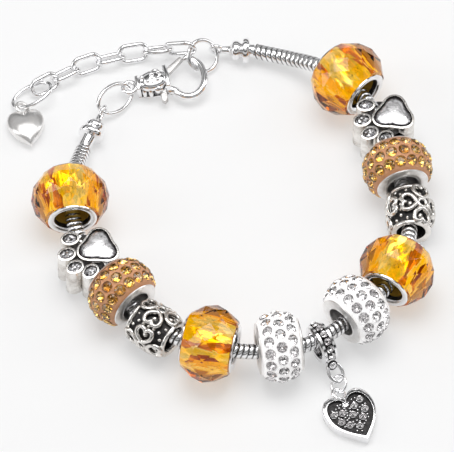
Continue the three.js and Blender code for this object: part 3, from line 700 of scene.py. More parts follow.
def eyelet(side):
    """A flanged eyelet pressed into one end of a glass bead, black deep in its mouth as painted shade."""
    face = GLASS["half"] + GLASS["edge"]
    mouth = face - EYELET_SHADED_MOUTH["behind"]
    profile = [(-0.9, 3.08), (-0.3, 3.16), (0, 3.27), (0, 4.3), (0.1, 4.38), (0.26, 4.35), (0.40, 4.15),
               (0.42, 3.9), (0.36, 3.5), (0.2, 3.25), (-0.1, 3.12)]
    ring = lathe([(side * (face + along), radius) for along, radius in profile], 64, closed=True)
    # The faces deep in the mouth take the black finish: painted shade inside the polished eyelet.
    return second_finish(
        ring, lambda middle, _: side * middle.x < mouth and middle.yz.length < EYELET_SHADED_MOUTH["radius"])


for n in (1, 2, 3, 4):
    spot = station(f"glass_{n}", f"glass_bead_{n}")
    piece(f"cut_glass_{n}", glass_bead(), [GLASS_CLEAR], [f"glass_bead_{n}"], spot, crease=5)
    piece(f"glass_core_{n}", colour_core(), [CORE, CORE_WALL], at=spot)
    for side, end in ((-1, "a"), (1, "b")):
        piece(f"eyelet_{n}_{end}", eyelet(side), [POLISHED, OXIDE_AND_PAINTED_SHADE], [f"grommet_{n}_{end}"], spot)

# %% [markdown]
# ## Cut stones
# A small stone shows a flat table, eight star facets and kites on its crown, and sits on a mirror foil
# that throws the light back. One hull gives the whole stone. Its upper faces are glass and its lower
# ones are foil, so a ray goes in, comes back and sparkles as the real one does.

# %% One stone, used everywhere
STONE_CROWN = 0.32
STONE_RINGS = [(0.56, STONE_CROWN, 8, 0.0), (0.80, 0.58 * STONE_CROWN, 8, 0.5), (1.00, 0.0, 16, 0.0),
               (0.97, -0.08, 16, 0.0), (0.30, -0.62, 8, 0.5), (0.02, -0.80, 3, 0.0)]


def cut_stone(radius):
    """Rings of (width, height, points, turn) in one hull: glass above the girdle and foil below it."""
    bm = bmesh.new()
    size = radius * MM
    for wide, height, count, turn in STONE_RINGS:
        for angle in spread_angles(count, turn):
            bm.verts.new((wide * size * math.cos(angle), wide * size * math.sin(angle), height * size))
    bmesh.ops.convex_hull(bm, input=bm.verts)
    bmesh.ops.dissolve_limit(bm, angle_limit=0.005, verts=bm.verts, edges=bm.edges)
    return as_mesh(second_finish(bm, lambda middle, _: middle.z <= -0.06 * radius))


def gem(name, tint):
    material, tree, shader = new_finish(name)
    feed(tree, shader, Base_Color=(*tint, 1), Transmission_Weight=1.0, Roughness=0.0, IOR=1.62)
    return material


CRYSTAL = gem("clear crystal", (1.0, 1.0, 1.0))
TOPAZ = gem("golden topaz", (0.98, 0.78, 0.42))
print("a stone has", len(cut_stone(1).polygons), "faces")

# %% [markdown]
# ## Clay beads set with stones
# The body is polymer clay pressed round a flanged silver tube, with three staggered rows of stones sunk
# into it. The frame carries only the widest row, so the whole bead is built again here: a turned barrel,
# and stones stood on it along its own normals.

# %% Clay
def clay(name, tint, shadow, painted_glow=0.0):
    material, tree, shader = new_finish(name)
    here = own_coords(tree)
    shade = blend(tree, noise(tree, here, 900.0, 5.0), (*shadow, 1), (*tint, 1))
    pores = noise(tree, here, 4200.0, 3.0)
    # The emission is a painted glow that brightens the clay; it is no lamp.
    feed(tree, shader, Base_Color=shade, Emission_Color=shade, Emission_Strength=painted_glow, Roughness=0.5,
         Normal=bump(tree, pores, 0.45, 0.00008))
    return material


PEACH_CLAY = clay("peach clay", (0.80, 0.42, 0.22), (0.52, 0.24, 0.12))
# Only the white clay gets the painted glow, to look brighter; the peach clay has none.
WHITE_CLAY = clay("white clay", (0.98, 0.975, 0.97), (0.93, 0.92, 0.92), painted_glow=0.33)
print("clays:", PEACH_CLAY.name, "and", WHITE_CLAY.name)

# %% The barrel and the places of its stones
PAVE = {"radius": 5.98, "curve": 0.105, "half": 3.45, "shoulder": 4.4, "bore": 3.16, "per_row": 16,
        "rows": (-2.12, 0.0, 2.12), "stone": 0.98, "raised": 0.05, "slack": 0.09, "spin": 0.8}
WELL = {"skin": 4.6, "reach": 0.98, "edge": 0.16, "cone": 0.95, "lip_at": 1.12, "lip_wide": 0.2}


def barrel_radius(along):
    return PAVE["radius"] - PAVE["curve"] * along ** 2


def stone_places():
    """Where each stone stands on the barrel: its middle and its normal, in mm."""
    places = []
    for row, along in enumerate(PAVE["rows"]):
        lean = math.atan(2 * PAVE["curve"] * along)
        for angle in spread_angles(PAVE["per_row"], 0.5 * (row % 2)):
            round_it = Vector((0, math.sin(angle), math.cos(angle)))
            normal = Vector((math.sin(lean), 0, 0)) + math.cos(lean) * round_it
            places.append((Vector((along, 0, 0)) + barrel_radius(along) * round_it, normal))
    return places


def press_wells(bm, places):
    """Presses a conical well under each stone and raises the clay a little round it."""
    middles = np.array([tuple(middle) for middle, _ in places])
    skin = [v for v in bm.verts if v.co.yz.length >= WELL["skin"] * MM]
    for v in skin:
        apart = np.linalg.norm(middles - np.array(v.co) / MM, axis=1)
        reach = float(apart.min()) / PAVE["stone"]
        lip = max(0.0, 1 - abs(reach - WELL["lip_at"]) / WELL["lip_wide"])
        sink = WELL["edge"] + WELL["cone"] * (1 - reach) if reach < WELL["reach"] else -WELL["edge"] * lip
        v.co.yz *= 1 - sink * MM / v.co.yz.length
    return bm


print("a pave bead has", len(stone_places()), "stones")

# %% The bead and its stones
def pave_bead():
    half, bore, shoulder = PAVE["half"], PAVE["bore"], PAVE["shoulder"]
    outer = [(x * half / 24, barrel_radius(x * half / 24)) for x in range(-22, 23)]
    profile = [(-half, bore), (-half, shoulder), *outer, (half, shoulder), (half, bore)]
    places = stone_places()
    bead = add(bmesh.new(), press_wells(lathe(profile, 256, closed=True), places))
    stone = cut_stone(PAVE["stone"])
    for middle, normal in places:
        spin = Matrix.Rotation(random.uniform(0, PAVE["spin"]), 4, "Z")
        tilts = [Matrix.Rotation(random.uniform(-PAVE["slack"], PAVE["slack"]), 4, axis) for axis in "XY"]
        at = Matrix.Translation((middle + PAVE["raised"] * normal) * MM)
        add(bead, stone, at @ upright(normal) @ tilts[0] @ tilts[1] @ spin, 1)
    return bead


print("the barrel is", 2 * PAVE["radius"], "mm thick and", 2 * PAVE["half"], "mm long")

# %% Flanged tubes
def flanged_tube(half=4.0):
    seat = PAVE["half"] + 0.06
    side = [(seat, 3.1), (seat, 4.55), (seat + 0.12, 4.68), (seat + 0.3, 4.6), (half, 3.7), (half, 3.1),
            (half - 0.12, 2.86), (half - 0.5, 2.8)]
    return lathe(mirrored(side), 72, closed=True)


PAVE_FINISHES = {"champagne": [PEACH_CLAY, TOPAZ, GOLD_FOIL], "white": [WHITE_CLAY, CRYSTAL, FOIL]}
for n in (1, 2):
    for shade, finishes in PAVE_FINISHES.items():
        spot = station(f"{shade}_{n}", f"{shade}_core_{n}")
        piece(f"{shade}_stones_{n}", pave_bead(), finishes, [f"{shade}_pave_{n}"], spot,
              crease=12)
        piece(f"{shade}_tube_{n}", flanged_tube(), [SATIN], [f"{shade}_core_{n}"], spot)

# %% [markdown]
# ## Openwork heart beads
# A cast bead: clovers of four heart outlines round a small ring stand over a blackened drum, with beads
# of silver between them. Each outline is a rod bent along the heart, then rolled round the drum by
# turning its sideways distance into an angle.

# %% Heart outlines
def heart_outline(width, length, per_part=9, notch=0.3, belly=0.28):
    """Points of a heart in mm, notch up, anticlockwise from the notch. A larger belly is blunter."""
    lobe = ((0, notch), (-0.12, 0.58), (-1, 0.62), (-1, 0.18))
    side = ((-1, 0.18), (-1, -0.12), (-belly, -0.32), (0, -0.5))
    other_half = [tuple((-x, y) for x, y in reversed(part)) for part in (side, lobe)]
    points = []
    for part in (lobe, side, *other_half):
        for i in range(per_part):
            t = i / per_part
            weights = ((1 - t) ** 3, 3 * t * (1 - t) ** 2, 3 * t * t * (1 - t), t ** 3)
            x, y = (sum(weight * p[axis] for weight, p in zip(weights, part)) for axis in (0, 1))
            points.append((x * width / 2, y * length))
    return points


def rolled_up(bm, radius, bulge):
    """Rolls a flat shape round a barrel: x runs along it, y round it and z away from it."""
    for v in bm.verts:
        turn = v.co.y / (radius * MM)
        out = radius * MM + v.co.z - bulge * v.co.x ** 2 / MM
        v.co = Vector((v.co.x, out * math.sin(turn), out * math.cos(turn)))
    return bm


print("a heart outline has", len(heart_outline(1, 1)), "points")

# %% A clover and its grains, drawn flat
HEARTS = {"drum": 3.45, "drum_end": 3.15, "drum_half": 3.4, "bore": 2.5, "raised": 4.12, "bulge": 0.035,
          "clovers": 3, "wide": 3.2, "long": 2.7, "wire": 0.4, "ring": 0.82, "ring_wire": 0.32, "gap": 0.2}
SEED = {"radius": 0.55, "high": 0.4, "inwards": 0.1, "sunk": 0.72}
GRAIN = {"apart": 1.1, "corner": (2.9, 3.0), "radii": (0.28, 0.42), "sunk": 0.5}


def clover():
    h = HEARTS
    flat = add(bmesh.new(), wire_ring(h["ring"], h["ring"], h["ring_wire"], segments=28, sides=10))
    out = h["ring"] + h["gap"] + h["long"] / 2
    path = [(x, y, 0) for x, y in heart_outline(h["wide"], h["long"], 7, belly=0.6)]
    seed = as_mesh(pillow(lambda angle: SEED["radius"], SEED["high"], sides=9, rings=6))
    for k in range(4):
        leaf = turned(90 * k) @ moved(0, out)
        add(flat, rod(path, h["wire"], closed=True), leaf)
        add(flat, seed, leaf @ moved(0, -SEED["inwards"], -SEED["sunk"]))
    return flat


def grains():
    """Silver grains in the gaps beside a clover."""
    flat = bmesh.new()
    edge = math.pi * HEARTS["raised"] / HEARTS["clovers"]
    x, y = GRAIN["corner"]
    spots = [(k * GRAIN["apart"], edge) for k in range(-2, 3)] + [(-x, -y), (-x, y), (x, -y), (x, y)]
    for spot in spots:
        add(flat, ball(random.uniform(*GRAIN["radii"]) * MM, 10, 6), moved(*spot, -GRAIN["sunk"]))
    return flat


print("a clover has", len(clover().faces), "faces")

# %% The heart beads
def hearts_bead():
    h = HEARTS
    flank = [(h["drum_half"], h["drum_end"]), (h["drum_half"], h["bore"])]
    drum = [(-along, radius) for along, radius in reversed(flank)] + [(0, h["drum"])] + flank
    bead = add(bmesh.new(), lathe(drum, 64, closed=True), finish=1)
    rim = [(3.35, 2.5), (3.35, 3.3), (3.5, 3.55), (3.75, 3.62), (4.0, 3.5), (4.02, 3.1), (3.9, 2.6)]
    for side in (-1, 1):
        add(bead, lathe([(side * along, radius) for along, radius in rim], 64, closed=True))
    for drawn in (clover, grains):
        shape = as_mesh(rolled_up(drawn(), h["raised"], h["bulge"]))
        for k in range(h["clovers"]):
            add(bead, shape, turned(360 * k / h["clovers"], "X"))
    return bead


HEART_TURNS = {1: -28, 2: 31}
for n, degrees in HEART_TURNS.items():
    spot = station(f"hearts_{n}", f"hearts_bead_{n}") @ turned(degrees, "X")
    piece(f"heart_openwork_{n}", hearts_bead(), [ANTIQUE, OXIDE_AND_PAINTED_SHADE], [f"hearts_bead_{n}"], spot,
          crease=50)

# %% [markdown]
# ## Paw beads
# The paw is one cast block: a three-lobed pad and four toes, each with a raised rim round a blackened
# well. The pad swells up in its well, and each toe holds a glittering oval stone. The chain passes
# straight through, so the block is bored like the real one, with a Boolean that is applied at once.

# %% Boring a hole
def carved(part, cutter):
    """The part less the cutter, both bmeshes, as a mesh with the finishes of both."""
    pair = []
    for shape in (part, cutter):
        obj = bpy.data.objects.new("shape", as_mesh(shape))
        for _ in range(3):
            obj.data.materials.append(None)
        bpy.context.scene.collection.objects.link(obj)
        pair.append(obj)
    cut = pair[0].modifiers.new("cut", "BOOLEAN")
    cut.object = pair[1]
    cut.operation = "DIFFERENCE"
    cut.solver = "EXACT"
    ready = pair[0].evaluated_get(bpy.context.evaluated_depsgraph_get())
    mesh = bpy.data.meshes.new_from_object(ready)
    for obj in pair:
        bpy.data.objects.remove(obj)
    return mesh


def oval(x, y, long, wide, turn=0.0):
    """Points of an ellipse round (x, y), its half length turned by turn."""
    points = []
    for angle in spread_angles(36):
        u, v = long * math.cos(angle), wide * math.sin(angle)
        across = u * math.cos(turn) - v * math.sin(turn)
        up = u * math.sin(turn) + v * math.cos(turn)
        points.append((x + across, y + up))
    return points


print("an oval has", len(oval(0, 0, 2, 1)), "points")

# %% Glittering grey stone
GLITTER, tree, shader = new_finish("grey glitter stone")
glints = put(tree, "ShaderNodeGroup", {"node_tree": cut_faces}, Scale=3600.0, Lean=1.1,
             Vector=own_coords(tree)).outputs
# These greys, from near black to pale, are partly the stone's own grey and partly painted glints and dark
# flashes, one for each cell.
greys = ramp(tree, glints["Tone"], (0.0, (0.10, 0.10, 0.11)), (1.0, (0.80, 0.79, 0.80)))
feed(tree, shader, Base_Color=greys, Normal=glints["Normal"], Metallic=0.85, Roughness=0.18)
print(GLITTER.name, "is ready")

# %% Domed pad, bright in the middle and stained at its edge
PAD_SILVER, tree, shader = new_finish("stained pad silver")
edge = put(tree, "ShaderNodeAttribute", {"attribute_name": "edge"}).outputs["Fac"]
blots = noise(tree, own_coords(tree), 1300.0, 6.0, Roughness=0.75)
stain = reckon(tree, "MULTIPLY_ADD", edge, 0.55, blots)
feed(tree, shader, Base_Color=ramp(tree, stain, (0.60, (0.90, 0.89, 0.90)), (0.92, (0.05, 0.045, 0.05))),
     Normal=bump(tree, blots, 0.35, 0.0001), Metallic=0.9, Roughness=0.24)
print(PAD_SILVER.name, "is ready")

# %% The pad's outline
PAW = {"top": 3.5, "lift": 5.0, "bore": 2.65, "rim": 0.36, "recess": 0.5}
PAD = {"x": 0.15, "y": 2.0, "reach": 3.45, "lobe": 0.55, "spare": 0.1, "gap": 0.42, "high": 0.75}
TOE = {"long": 1.72, "wide": 1.4, "gap": 0.1, "high": 0.5, "short": 0.25}


def pad_reach(angle):
    return PAD["reach"] + PAD["lobe"] * math.cos(3 * (angle + math.pi / 2))


def pad_outline():
    points = []
    for angle in spread_angles(72):
        reach = pad_reach(angle) + PAD["spare"]
        points.append((PAD["x"] + reach * math.cos(angle), PAD["y"] + reach * math.sin(angle)))
    return points


print("the pad is", round(pad_reach(-math.pi / 2), 2), "mm deep at its lobe")

# %% The block, its wells and what lies in them
TOES_AT = [(-3.6, -1.7, 1.35), (-0.95, -3.65, 1.5), (2.1, -3.6, 1.65), (4.15, -1.5, 1.95)]


def paw_bead():
    top, low, rim, recess = PAW["top"], -PAW["top"], PAW["rim"], PAW["recess"]
    bore = as_mesh(lathe([(-9, 0), (-9, PAW["bore"]), (9, PAW["bore"]), (9, 0)], 48))

    def bored(part):
        return carved(part, add(bmesh.new(), bore))

    block = add(bmesh.new(), bored(tray(pad_outline(), low, top, rim, recess)))
    add(block, bored(slab(oval(0, -0.3, 4.0, 3.6), low + 0.5, top - 0.9)), finish=1)
    pad = pillow(lambda angle: pad_reach(angle) - PAD["gap"], PAD["high"], fullness=0.75, flatness=0.7)
    add(block, pad, moved(PAD["x"], PAD["y"], top - recess), 2)
    drawn = Matrix.Diagonal((TOE["long"] - rim - TOE["gap"], TOE["wide"] - rim - TOE["gap"], 1, 1))
    stone = as_mesh(pillow(lambda angle: 1.0, TOE["high"], sides=36, rings=16))
    for x, y, turn in TOES_AT:
        outline = oval(x, y, TOE["long"], TOE["wide"], turn)
        add(block, bored(tray(outline, low + TOE["short"], top, rim, recess)))
        add(block, stone, moved(x, y, top - recess) @ Matrix.Rotation(turn, 4, "Z") @ drawn, 3)
    return block


for n in (1, 2):
    spot = station(f"paw_{n}", f"paw_bead_{n}") @ turned(180 * (n - 1))
    middle = Vector(STRING[f"paw_{n}"]) + ORIGIN_SHIFT
    spot.translation = Vector((middle.x, middle.y, PAW["lift"])) * MM
    piece(f"paw_{n}", paw_bead(), [ANTIQUE, OXIDE_AND_PAINTED_SHADE, PAD_SILVER, GLITTER], [f"paw_bead_{n}"], spot)

# %% [markdown]
# ## The dangle
# A stone-set bail slides on the chain and carries a thin link and a flat heart. The bail is a turned
# ring with two polished rails and a row of stones between them. The heart is a soft-edged plate with a
# blackened well carved into it, which holds ten stones in turned cups, and silver grains between them.

# %% Where turned and flat parts lie
def frame_at(spot, along, up=(0, 0, 1)):
    """The matrix at a point of the string's table, X along `along` and Z as near `up` as it can be."""
    x = Vector(along).normalized()
    return laid_along(x, Vector(up).cross(x).normalized(), (Vector(spot) + ORIGIN_SHIFT) * MM)


def heading(degrees, climb=0.0):
    turn = math.radians(degrees)
    return Vector((math.cos(turn) * math.cos(climb), math.sin(turn) * math.cos(climb), math.sin(climb)))


print("the bail hangs where the string runs along", [round(c, 5) for c in run_at("bail").normalized()])

# %% Bail
BAIL = {"bore": 2.5, "wall": 3.55, "half": 1.3, "rail": 0.62, "stone": 0.7, "raised": 0.2, "stones": 16,
        "first": 24, "drop": 0.8, "loop": (1.75, 1.25, 0.39), "loop_drop": 2.15}
BOSS = {"radius": 0.72, "high": 0.5, "forward": 0.35, "drop": 0.75, "facing": (0, -0.8, -0.6)}


def bail():
    half, wall, bore, rail = BAIL["half"], BAIL["wall"], BAIL["bore"], BAIL["rail"]
    band = [(-half, bore), (-half, wall - 0.1), (-half + 0.1, wall + 0.1), (-0.78, wall + 0.12),
            (-0.66, wall), (-rail, wall - 0.25)]
    floor = [(-rail, wall - 0.25), (rail, wall - 0.25), (rail, wall - 0.6), (-rail, wall - 0.6)]
    ring = add(bmesh.new(), lathe(mirrored(band), 72, closed=True))
    add(ring, lathe(floor, 72, closed=True), finish=1)
    stone = cut_stone(BAIL["stone"])
    for angle in spread_angles(BAIL["stones"]):
        angle += math.radians(BAIL["first"])
        normal = Vector((0, -math.sin(angle), math.cos(angle)))
        clear_of_loop = normal.z > -0.9
        if clear_of_loop:
            add(ring, stone, Matrix.Translation(normal * (wall + BAIL["raised"]) * MM) @ upright(normal), 2)
    loop_at = moved(0, 0, -wall - BAIL["loop_drop"]) @ turned(90) @ turned(90, "Y")
    add(ring, wire_ring(*BAIL["loop"], segments=40), loop_at)
    boss_at = moved(0, -BOSS["forward"], -wall - BOSS["drop"]) @ upright(BOSS["facing"])
    add(ring, pillow(lambda angle: BOSS["radius"], BOSS["high"], BOSS["high"], sides=24, rings=14), boss_at)
    collar = lathe([(-0.15, 0.6), (-0.15, 0.92), (0.12, 0.92), (0.12, 0.6)], 24, closed=True)
    return add(ring, collar, boss_at @ turned(-90, "Y"), 1)


DOWN = Vector((0.4, -0.77, -0.5))
bail_at = frame_at(Vector(STRING["bail"]) + BAIL["drop"] * DOWN, run_at("bail"), -DOWN)
piece("stone_set_bail", bail(), [POLISHED, OXIDE_AND_PAINTED_SHADE, CRYSTAL, FOIL], ["dangle_bail"], bail_at)

# %% Places for silver grains
def inside(x, y, outline):
    crossings = 0
    for (x1, y1), (x2, y2) in zip(outline, outline[1:] + outline[:1]):
        if (y1 > y) != (y2 > y) and x < x1 + (y - y1) / (y2 - y1) * (x2 - x1):
            crossings += 1
    return crossings % 2 == 1


def grain_spots(outline, taken, stone, size, tries=900):
    """Free spots for silver grains, found by trying random places."""
    spots = []
    for _ in range(tries):
        x, y = random.uniform(-5, 5), random.uniform(-5.5, 5.5)
        clear = all(math.hypot(x - a, y - b) > stone + size for a, b in taken)
        apart = all(math.hypot(x - a, y - b) > 2.4 * size for a, b in spots)
        if clear and apart and inside(x, y, outline):
            spots.append((x, y))
    return spots


print("the middle of a square is inside it:", inside(0, 0, [(-1, -1), (1, -1), (1, 1), (-1, 1)]))

# %% Heart pendant
HEART = {"width": 9.3, "length": 10.4, "thick": 2.0, "rim": 0.62, "sunk": 0.55, "stone": 0.66,
         "raised": 0.42, "grain": 0.2, "grain_raised": 0.08, "loop": 1.15, "loop_at": 5.75, "wire": 0.36}
HEART_STONES = [
    (2.65, 2.85), (1.14, 2.1), (2.57, 0.69), (-2.98, 1.94), (-1.48, 1.65), (0.1, 0.56), (1.47, -0.64),
    (-2.45, 0.1), (-1.4, -1.15), (0.11, -2.08),
]
TILTED_LOOP = 25


def heart_pendant():
    h = HEART
    floor = h["thick"] - h["sunk"]
    rim = heart_outline(h["width"] - 2 * h["rim"], h["length"] - 2.4 * h["rim"], 16, notch=0.33, belly=0.5)
    well = slab([(x, y - 0.1) for x, y in rim], floor, h["thick"] + 1)
    second_finish(well, lambda middle, _: True)
    plate = slab(heart_outline(h["width"], h["length"], 16, belly=0.42), 0, h["thick"], soft=0.22)
    heart = add(bmesh.new(), carved(plate, well))
    stone = cut_stone(h["stone"])
    cup = as_mesh(lathe([(-0.1, 0.7), (0.34, 0.7), (0.4, 0.64), (0.34, 0.56), (-0.1, 0.5)], 24, closed=True))
    for x, y in HEART_STONES:
        add(heart, stone, moved(x, y, floor + h["raised"]), 2)
        add(heart, cup, moved(x, y, floor) @ turned(-90, "Y"))
    field = heart_outline(h["width"] - 2.9, h["length"] - 3.0, 10)
    for x, y in grain_spots(field, HEART_STONES, h["stone"], h["grain"]):
        add(heart, ball(h["grain"] * MM, 12, 8), moved(x, y, floor + h["grain_raised"]))
    add(heart, slab([(-0.5, 2.6), (0.5, 2.6), (0.42, 4.6), (-0.42, 4.6)], 0.3, 1.6, 0.15))
    loop = wire_ring(h["loop"], h["loop"], h["wire"], segments=40)
    return add(heart, loop, moved(0, h["loop_at"], 1.15) @ turned(TILTED_LOOP, "Y"))


heart_at = frame_at((21.45, -43.5, 0), heading(27.8))
piece("starry_heart", heart_pendant(), [POLISHED, OXIDE_AND_PAINTED_SHADE, CRYSTAL, FOIL], ["heart_pendant"], heart_at)

# %% [markdown]
# ## Rings and links
# Every link is bent from one round wire. The frame's links have only five sides, so round ones are laid
# exactly where those lie, from the principal directions of their vertices.

# %% Laying the rings
# half the length, half the width, the wire's radius and, in a long link, half the straight part
RINGS = {
    "clasp_jump_ring": (3.76, 2.36, 0.38),
    "extension_end_ring": (3.76, 2.36, 0.38),
    "end_jump_ring": (2.85, 2.85, 0.4),
    "dangle_link": (1.6, 1.6, 0.25),
    "extension_link_1": (1.44, 1.44, 0.42, 1.4),
}
for n in range(2, 8):
    RINGS[f"extension_link_{n}"] = (1.44, 1.44, 0.42, 1.15)
for name, sizes in RINGS.items():
    piece(f"round_{name}", wire_ring(*sizes), [POLISHED], [name], lie_of(name))

# %% [markdown]
# ## End caps
# The chain's ends are glued into turned silver caps: a sleeve, a disc, a waisted bead and a neck with a
# ring cast on it. All but the ring has one axis, so a single turned profile draws the whole cap.

# %% Turning the caps
CAPS = {
    "left": {"spot": (-25.2, 15.6, 2.35), "degrees": 66, "sleeve": 2.2},
    "right": {"spot": (2.5, 33.66, 2.35), "degrees": 177.7, "sleeve": 0.5},
}


def end_cap(sleeve):
    body = [(-1.1 - sleeve, 0), (-1.1 - sleeve, 1.12), (-1.0 - sleeve, 1.2), (-0.95, 1.2), (-0.75, 1.3),
            (-0.62, 1.7), (-0.55, 2.1), (-0.35, 2.3), (-0.1, 2.35), (0.25, 2.35), (0.45, 2.28), (0.58, 2.05),
            (0.66, 1.5), (0.78, 1.32), (0.95, 1.36), (1.15, 1.6), (1.45, 1.76), (1.85, 1.8), (2.2, 1.72),
            (2.5, 1.5), (2.66, 1.1), (2.8, 0.9), (3.1, 0.74), (3.6, 0.68), (4.3, 0.66), (4.3, 0)]
    cap = add(bmesh.new(), lathe(body, 64))
    return add(cap, wire_ring(1.06, 1.06, 0.34, segments=40), moved(5.3) @ turned(90, "X"))


for side, c in CAPS.items():
    spot = frame_at(c["spot"], heading(c["degrees"]))
    piece(f"turned_{side}_cap", end_cap(c["sleeve"]), [POLISHED], [f"{side}_end_cap"], spot)

# %% [markdown]
# ## The clasp
# A fancy lobster clasp: a swollen cast body with raised lobes down its sides and dots and a wave on its
# back, held between two end plates and a sole, with a hook bent from thick wire and a lever on a pin that
# closes the hook. The body is a pillow, so a formula gives its height under every dot. The lever turns about
# its pin, so it is a piece of its own that rides on the moving body, in a slot cut through the cast one.

# %% The swollen body
CLASP_AT = frame_at((-8.0, 27.9, 2.35), heading(11, 0.1))
CLASP = {"long": 3.05, "wide": 4.1, "wire": 0.7, "pivot": (-4.6, 0.9), "slot": 0.72, "lever": 0.55,
         "pin": 0.42, "eye": 1.15, "eye_at": -10.55}
EGG = {"x": -6.25, "long": 2.95, "wide": 2.1, "high": 2.4, "low": 1.2, "fullness": 0.6, "flatness": 0.5}


def egg():
    """The swollen body, black low down and polished on top."""
    e = EGG
    form = pillow(lambda angle: 1 / math.hypot(math.cos(angle) / e["long"], math.sin(angle) / e["wide"]),
                  e["high"], e["low"], fullness=e["fullness"], flatness=e["flatness"])
    bmesh.ops.translate(form, verts=form.verts, vec=(e["x"] * MM, 0, 0))
    return second_finish(form, lambda middle, _: middle.z < e["low"])


def egg_top(x, y):
    """How high the body's skin is over a spot, in mm."""
    across = math.hypot((x - EGG["x"]) / EGG["long"], y / EGG["wide"]) ** (1 / EGG["fullness"])
    return EGG["high"] * math.sqrt(1 - across ** 2) ** EGG["flatness"]


def slotted(part):
    slot = [(-7.6, -4), (-3.9, -4), (-3.75, 0.1), (-2.0, 0.2), (-2.0, 4), (-5.4, 4), (-5.9, 1.2)]
    return carved(part, slab(slot, -CLASP["slot"], CLASP["slot"]))


print("the body's back is", round(egg_top(EGG["x"], 0), 2), "mm high")

# %% Hook
def clasp_hook(start=215, thinning=400, end=445):
    """A thick wire bent from start to end, in degrees, getting thinner from thinning on to a round tip."""
    path = [(-4.2, -1.35, 0.15), (-3.6, -1.75, 0.12), (-3.0, -2.1, 0.1)]
    taper = [1.0, 1.05, 1.05]
    for degrees in range(start, end, 5):
        angle = math.radians(degrees)
        path.append((CLASP["long"] * math.cos(angle), CLASP["wide"] * math.sin(angle), 0))
        taper.append(1.0 if degrees < thinning else 1.0 - 0.12 * (degrees - thinning) / 40)
    hook = add(bmesh.new(), rod(path, CLASP["wire"], resolution=5, taper=taper))
    return add(hook, ball(CLASP["wire"] * 0.89 * MM, 20, 12), moved(*path[-1]))


print("the hook has", len(clasp_hook().faces), "faces")

# %% Lobes, dots and wave
# each lobe's place on one side, half its height and half its width
LOBES = [(-8.05, 1.6, 0.6, 1.0, 0.44), (-6.95, 1.9, 0.65, 1.05, 0.46), (-5.45, 2.05, 1.15, 0.75, 0.8)]
# each dot's place on the back, and its radius
DOTS = [(-8.0, 0.5, 0.42), (-7.1, -0.55, 0.42), (-6.2, 0.7, 0.45), (-5.3, -0.6, 0.45), (-5.0, 0.9, 0.36),
        (-6.3, -0.9, 0.26)]
WAVE = {"from": -8.2, "step": 0.28, "swing": 0.42, "pace": 1.15, "aside": -0.1, "wire": 0.16, "raised": 0.05}


def trim(body):
    """Adds the lobes on both sides, and the dots and the wave on the back."""
    bulge = as_mesh(pillow(lambda angle: 1, 0.42, 0.3, sides=24, rings=14))
    for side in (1, -1):
        for x, y, z, tall, wide in LOBES:
            at = moved(x, side * y, z) @ upright((0, side, 0.45))
            add(body, bulge, at @ Matrix.Diagonal((tall, wide, 1, 1)))
    for x, y, radius in DOTS:
        add(body, ball(radius * MM, 18, 10), moved(x, y, egg_top(x, y)))
    wave = []
    for i in range(14):
        x = WAVE["from"] + WAVE["step"] * i
        y = WAVE["aside"] + WAVE["swing"] * math.sin(WAVE["pace"] * i)
        wave.append((x, y, egg_top(x, y) + WAVE["raised"]))
    return add(body, rod(wave, WAVE["wire"], resolution=3))


print("the clasp has", 2 * len(LOBES), "lobes and", len(DOTS), "dots")

# %% The whole cast clasp
def clasp_body():
    body = add(bmesh.new(), slotted(egg()))
    front = slab([(-4.1, -2.3), (-3.3, -2.35), (-3.05, 0), (-3.3, 2.35), (-4.1, 2.3)], -1.2, 2.35, 0.34, 4)
    back = slab([(-9.35, -1.45), (-8.65, -1.6), (-8.65, 1.6), (-9.35, 1.45)], -1.2, 2.0, 0.3, 4)
    sole = slab([(-9.2, -1.6), (-3.1, -2.5), (-3.1, 2.4), (-9.2, 1.5)], -1.4, -0.75, 0.15)
    for part in (front, back, sole):
        add(body, slotted(part))
    trim(body)
    add(body, clasp_hook())
    add(body, wire_ring(CLASP["eye"], CLASP["eye"], 0.4, segments=40), moved(CLASP["eye_at"], 0, 0.75))
    pin = lathe([(-1.0, 0), (-1.0, CLASP["pin"]), (1.2, CLASP["pin"]), (1.2, 0)], 32)
    return add(body, pin, moved(*CLASP["pivot"]) @ turned(-90, "Y"))


piece("cast_clasp", clasp_body(), [POLISHED, OXIDE_AND_PAINTED_SHADE], ["clasp_body"], CLASP_AT)

# %% Lever
LEVER = {"tip": (-0.28, 4.1), "root": 0.7, "end": 0.4, "hub": 0.95}


def lever_parts():
    px, py = CLASP["pivot"]
    pivot, tip = Vector((px, py)), Vector(LEVER["tip"])
    across = (tip - pivot).normalized().orthogonal()
    root, end = LEVER["root"] * across, LEVER["end"] * across
    arm = [pivot + root, tip + end, tip - end, pivot - root]
    thumb = [(px + 0.8, py), (px - 0.8, py), (px - 0.75, -3.9), (px - 0.3, -4.4), (px + 0.35, -3.9)]
    lever = bmesh.new()
    for outline, soft in ((arm, 0.16), (thumb, 0.16), (oval(px, py, LEVER["hub"], LEVER["hub"]), 0.12)):
        add(lever, slab(outline, -CLASP["lever"], CLASP["lever"], soft, 3))
    return lever


piece("spring_lever", lever_parts(), [BRUSHED_AND_SHADED], ["clasp_lever"], CLASP_AT, body="lever")

# %% [markdown]
# ## The puffed heart
# The tail charm is a hollow heart pressed from sheet and buffed to a soft shine, which keeps its swelling
# readable where a mirror would only show the room. A sphere is drawn out to the heart's outline, ring by
# ring, so the notch runs as a crease up on to the swelling.

# %% Drawing a sphere out to a heart
CHARM = {"width": 6.7, "length": 7.6, "notch": 0.37, "thick": 3.0, "loop_at": 4.6, "loop": 1.1, "wire": 0.34,
         "neck": 0.42}


